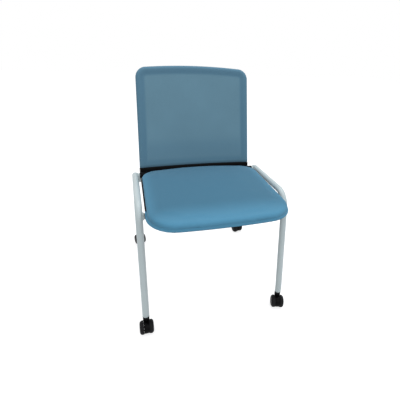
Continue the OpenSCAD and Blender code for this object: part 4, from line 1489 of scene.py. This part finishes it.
def wheel_profile(radius, outer, width, bore, hub_bore):
    """Half section of a wheel's core from its bore round to its closed, domed outer face."""
    rim, web, dish = RIM_SHARE * radius, WEB_SHARE * width, 0.075 * width
    start = DOME_START_SHARE * outer
    inner = [
        (bore, hub_bore), (bore, 0.0), (0.3 * radius, 0.0), (0.32 * radius, web),
        (radius - 1.25 * rim, web), (radius - rim, 0.0), (radius, 0.0),
    ]
    face = [
        (0.97 * start, width - 0.35 * dish), (0.92 * start, width - dish),
        (0.5 * start, width - 0.9 * dish), (0.44 * start, width - 0.4 * dish),
        (0.4 * start, width - 0.3 * dish), (0.0, width - 0.25 * dish),
    ]
    return inner + dome_points(start, radius, outer, width)[::-1] + face + [(0.0, hub_bore)]


def tread_profile(inner, outer, width):
    """Closed section of a tread: round inner shoulder, a fine groove, domed outer shoulder."""
    shoulder = 0.66 * (outer - inner)
    flat = DOME_FLAT_SHARE * width
    groove = 0.1 * (outer - inner)
    ring = [(inner, 0.0)] + corner_arc((outer - shoulder, shoulder), shoulder, -90, 0, 6)
    middle = (shoulder + flat) / 2
    ring += [
        (outer, middle - 1.5 * groove), (outer - groove, middle - 0.5 * groove),
        (outer - groove, middle + 0.5 * groove), (outer, middle + 1.5 * groove),
    ]
    return ring + dome_points(inner, outer, outer, width)[::-1]


class CHAIR_OT_casters(bpy.types.Operator):
    """Turns the wheels and treads and rounds the caster bodies"""

    bl_idname = "chair.casters"
    bl_label = "Casters"

    def execute(self, context):
        coat_nodes([f"{caster}_axle" for caster in CASTERS], "plated_steel")
        for caster in CASTERS:
            rounded_piece(
                f"{caster}_body", f"{caster}_hood", "caster_nylon", f"{caster}_caster",
                "black_plastic", HOOD_EDGE,
            )
            middle, direction = axle_of(caster)
            for hand in HANDS:
                self.wheel(context.scene.chair_sizes, caster, hand, middle, direction)
        return {"FINISHED"}

    @staticmethod
    def wheel(sizes, caster, hand, middle, direction):
        """One wheel core, its tread and its dust ring, on the axle's own line.

        The ring is the body's, and stands in the hollow of the wheel's inner side."""
        body = f"{caster}_wheel_{hand}"
        core = node_points(body) - middle
        tread = node_points(f"{caster}_tread_{hand}") - middle
        out = direction * np.sign((core @ direction).mean())
        near, far = (core @ out).min() - sizes.wheel_in, (core @ out).max()
        core_r, tread_r = (
            np.linalg.norm(p - np.outer(p @ out, out), axis=1) for p in (core, tread)
        )
        bore = core_r[core @ out - near < sizes.wheel_in + 1e-5].min()
        matrix = axis_frame(Vector(middle + out * near), out)
        width, radius, outer = far - near, core_r.max(), tread_r.max()
        profile = wheel_profile(radius, outer, width, bore, HUB_BORE_SHARE * width)
        disc = turned_piece(
            f"{caster}_disc_{hand}", profile, 64, matrix, "caster_nylon", MOULDED_SHARP, False
        )
        place_piece(disc, body, [body])
        gap = near - ((node_points(f"{caster}_body") - middle) @ out).max()
        clear, sink, high, edge = 0.0006, 0.0002, 0.0009, 0.0003
        small, large = 0.37 * radius, radius * (1 - 1.25 * RIM_SHARE) - clear
        sunk = -gap - sink
        profile = [
            (small, sunk), (large, sunk), (large, high - edge), (large - edge, high),
            (small + edge, high), (small, high - edge),
        ]
        ring = turned_piece(
            f"{caster}_seal_{hand}", profile, 64, matrix, "caster_nylon", MOULDED_SHARP
        )
        place_piece(ring, f"{caster}_caster")
        profile = tread_profile(tread_r.min(), outer, width)
        tyre = turned_piece(f"{caster}_tyre_{hand}", profile, 72, matrix, "tyre_rubber", 50.0)
        place_piece(tyre, body, [f"{caster}_tread_{hand}"])


def area_light(name, place, size, power, target=(0.0, 0.0, 0.4)):
    """A soft square lamp that looks at the target."""
    data = bpy.data.lights.new(name, "AREA")
    data.size = size
    data.energy = power
    lamp = linked(name, data)
    lamp.location = place
    lamp.rotation_euler = (Vector(target) - Vector(place)).to_track_quat("-Z", "Y").to_euler()


def camera_share(tree):
    """1 for camera, glossy and transmission rays, and 0 for the rest."""
    path = add_node(tree, "ShaderNodeLightPath")
    seen = maths(tree, "ADD", path.outputs["Is Camera Ray"], path.outputs["Is Glossy Ray"])
    total = maths(tree, "ADD", seen, path.outputs["Is Transmission Ray"])
    return maths(tree, "MINIMUM", total, 1.0)


class CHAIR_OT_stage(bpy.types.Operator):
    """Sets the pale floor, the white surroundings, the soft lamps and the camera"""

    bl_idname = "chair.stage"
    bl_label = "Stage"

    floor_lift: bpy.props.FloatProperty(
        name="Light that the camera sees added to the floor", default=0.72, min=0.0
    )
    sky: bpy.props.FloatProperty(
        name="Strength of the even light from all round", default=0.66, min=0.0
    )

    def execute(self, context):
        scene = context.scene
        scene.view_settings.view_transform = "Standard"
        self.floor(scene.chair_colours.floor)
        self.world(scene)
        for lamp in LAMPS:
            area_light(*lamp)
        self.camera(scene)
        return {"FINISHED"}

    def floor(self, rgb, half=6.0):
        """A wide floor that takes the shadow, seen white where no shadow falls."""
        mesh = bpy.data.meshes.new("floor")
        corners = [(-half, -half, 0.0), (half, -half, 0.0), (half, half, 0.0), (-half, half, 0.0)]
        mesh.from_pydata(corners, [], [(0, 1, 2, 3)])
        material = bpy.data.materials.new("pale_floor")
        material.use_nodes = True
        tree = material.node_tree
        tree.nodes.clear()
        grain = noise(tree, object_place(tree), 3.0, 2.0)
        tone = mixed(tree, grain, shaded(rgb, 0.995), shaded(rgb, 1.0))
        diffuse = add_node(tree, "ShaderNodeBsdfDiffuse", None, {"Color": tone})
        lift = maths(tree, "MULTIPLY", camera_share(tree), self.floor_lift)
        glow = add_node(tree, "ShaderNodeEmission", None, {"Strength": lift})
        both = add_node(
            tree, "ShaderNodeAddShader", None,
            {0: diffuse.outputs["BSDF"], 1: glow.outputs["Emission"]},
        )
        add_node(tree, "ShaderNodeOutputMaterial", None, {"Surface": both.outputs["Shader"]})
        mesh.materials.append(material)
        linked("floor", mesh)

    def world(self, scene):
        """White to the camera, even soft light to the object."""
        scene.world = bpy.data.worlds.new("studio")
        scene.world.use_nodes = True
        tree = scene.world.node_tree
        tree.nodes.clear()
        strength = spread(tree, camera_share(tree), self.sky, 1.0)
        glow = add_node(
            tree, "ShaderNodeBackground", None, {"Color": (1.0,) * 4, "Strength": strength}
        )
        add_node(tree, "ShaderNodeOutputWorld", None, {"Surface": glow.outputs["Background"]})

    @staticmethod
    def camera(scene):
        """The camera at the photograph's viewing angle."""
        data = bpy.data.cameras.new("camera")
        for key, value in CAMERA_SETTINGS.items():
            setattr(data, key, value)
        place = Matrix.Translation(CAMERA_PLACE)
        for axis, degrees in CAMERA_TURNS:
            place = place @ Matrix.Rotation(math.radians(degrees), 4, axis)
        scene.camera = linked("camera", data)
        scene.camera.matrix_world = place


class CHAIR_PT_pieces(bpy.types.Panel):
    """Lists the pieces in the sidebar"""

    bl_label = "Nesting Chair"
    bl_idname = "CHAIR_PT_pieces"
    bl_space_type = "VIEW_3D"
    bl_region_type = "UI"
    bl_category = "Chair"

    def draw(self, context):
        for operator in OPERATORS:
            self.layout.operator(operator.bl_idname)
        for group in (context.scene.chair_sizes, context.scene.chair_colours):
            for key in group.__annotations__:
                self.layout.prop(group, key)


OPERATORS = (
    CHAIR_OT_stage,
    CHAIR_OT_frame,
    CHAIR_OT_welds,
    CHAIR_OT_cushion,
    CHAIR_OT_cloth_lip,
    CHAIR_OT_seat_shell,
    CHAIR_OT_hinges,
    CHAIR_OT_sleeve,
    CHAIR_OT_rail,
    CHAIR_OT_screws,
    CHAIR_OT_casters,
)
CLASSES = (ChairSizes, ChairColours, *OPERATORS, CHAIR_PT_pieces)


def register():
    """Registers the classes and the scene's settings."""
    for item in CLASSES:
        bpy.utils.register_class(item)
    bpy.types.Scene.chair_sizes = bpy.props.PointerProperty(type=ChairSizes)
    bpy.types.Scene.chair_colours = bpy.props.PointerProperty(type=ChairColours)


def unregister():
    """Removes the settings and the classes."""
    del bpy.types.Scene.chair_colours
    del bpy.types.Scene.chair_sizes
    for item in reversed(CLASSES):
        bpy.utils.unregister_class(item)


def main():
    """Builds every piece in order."""
    register()
    for operator in OPERATORS:
        group, name = operator.bl_idname.split(".")
        getattr(getattr(bpy.ops, group), name)()


if __name__ == "__main__":
    main()
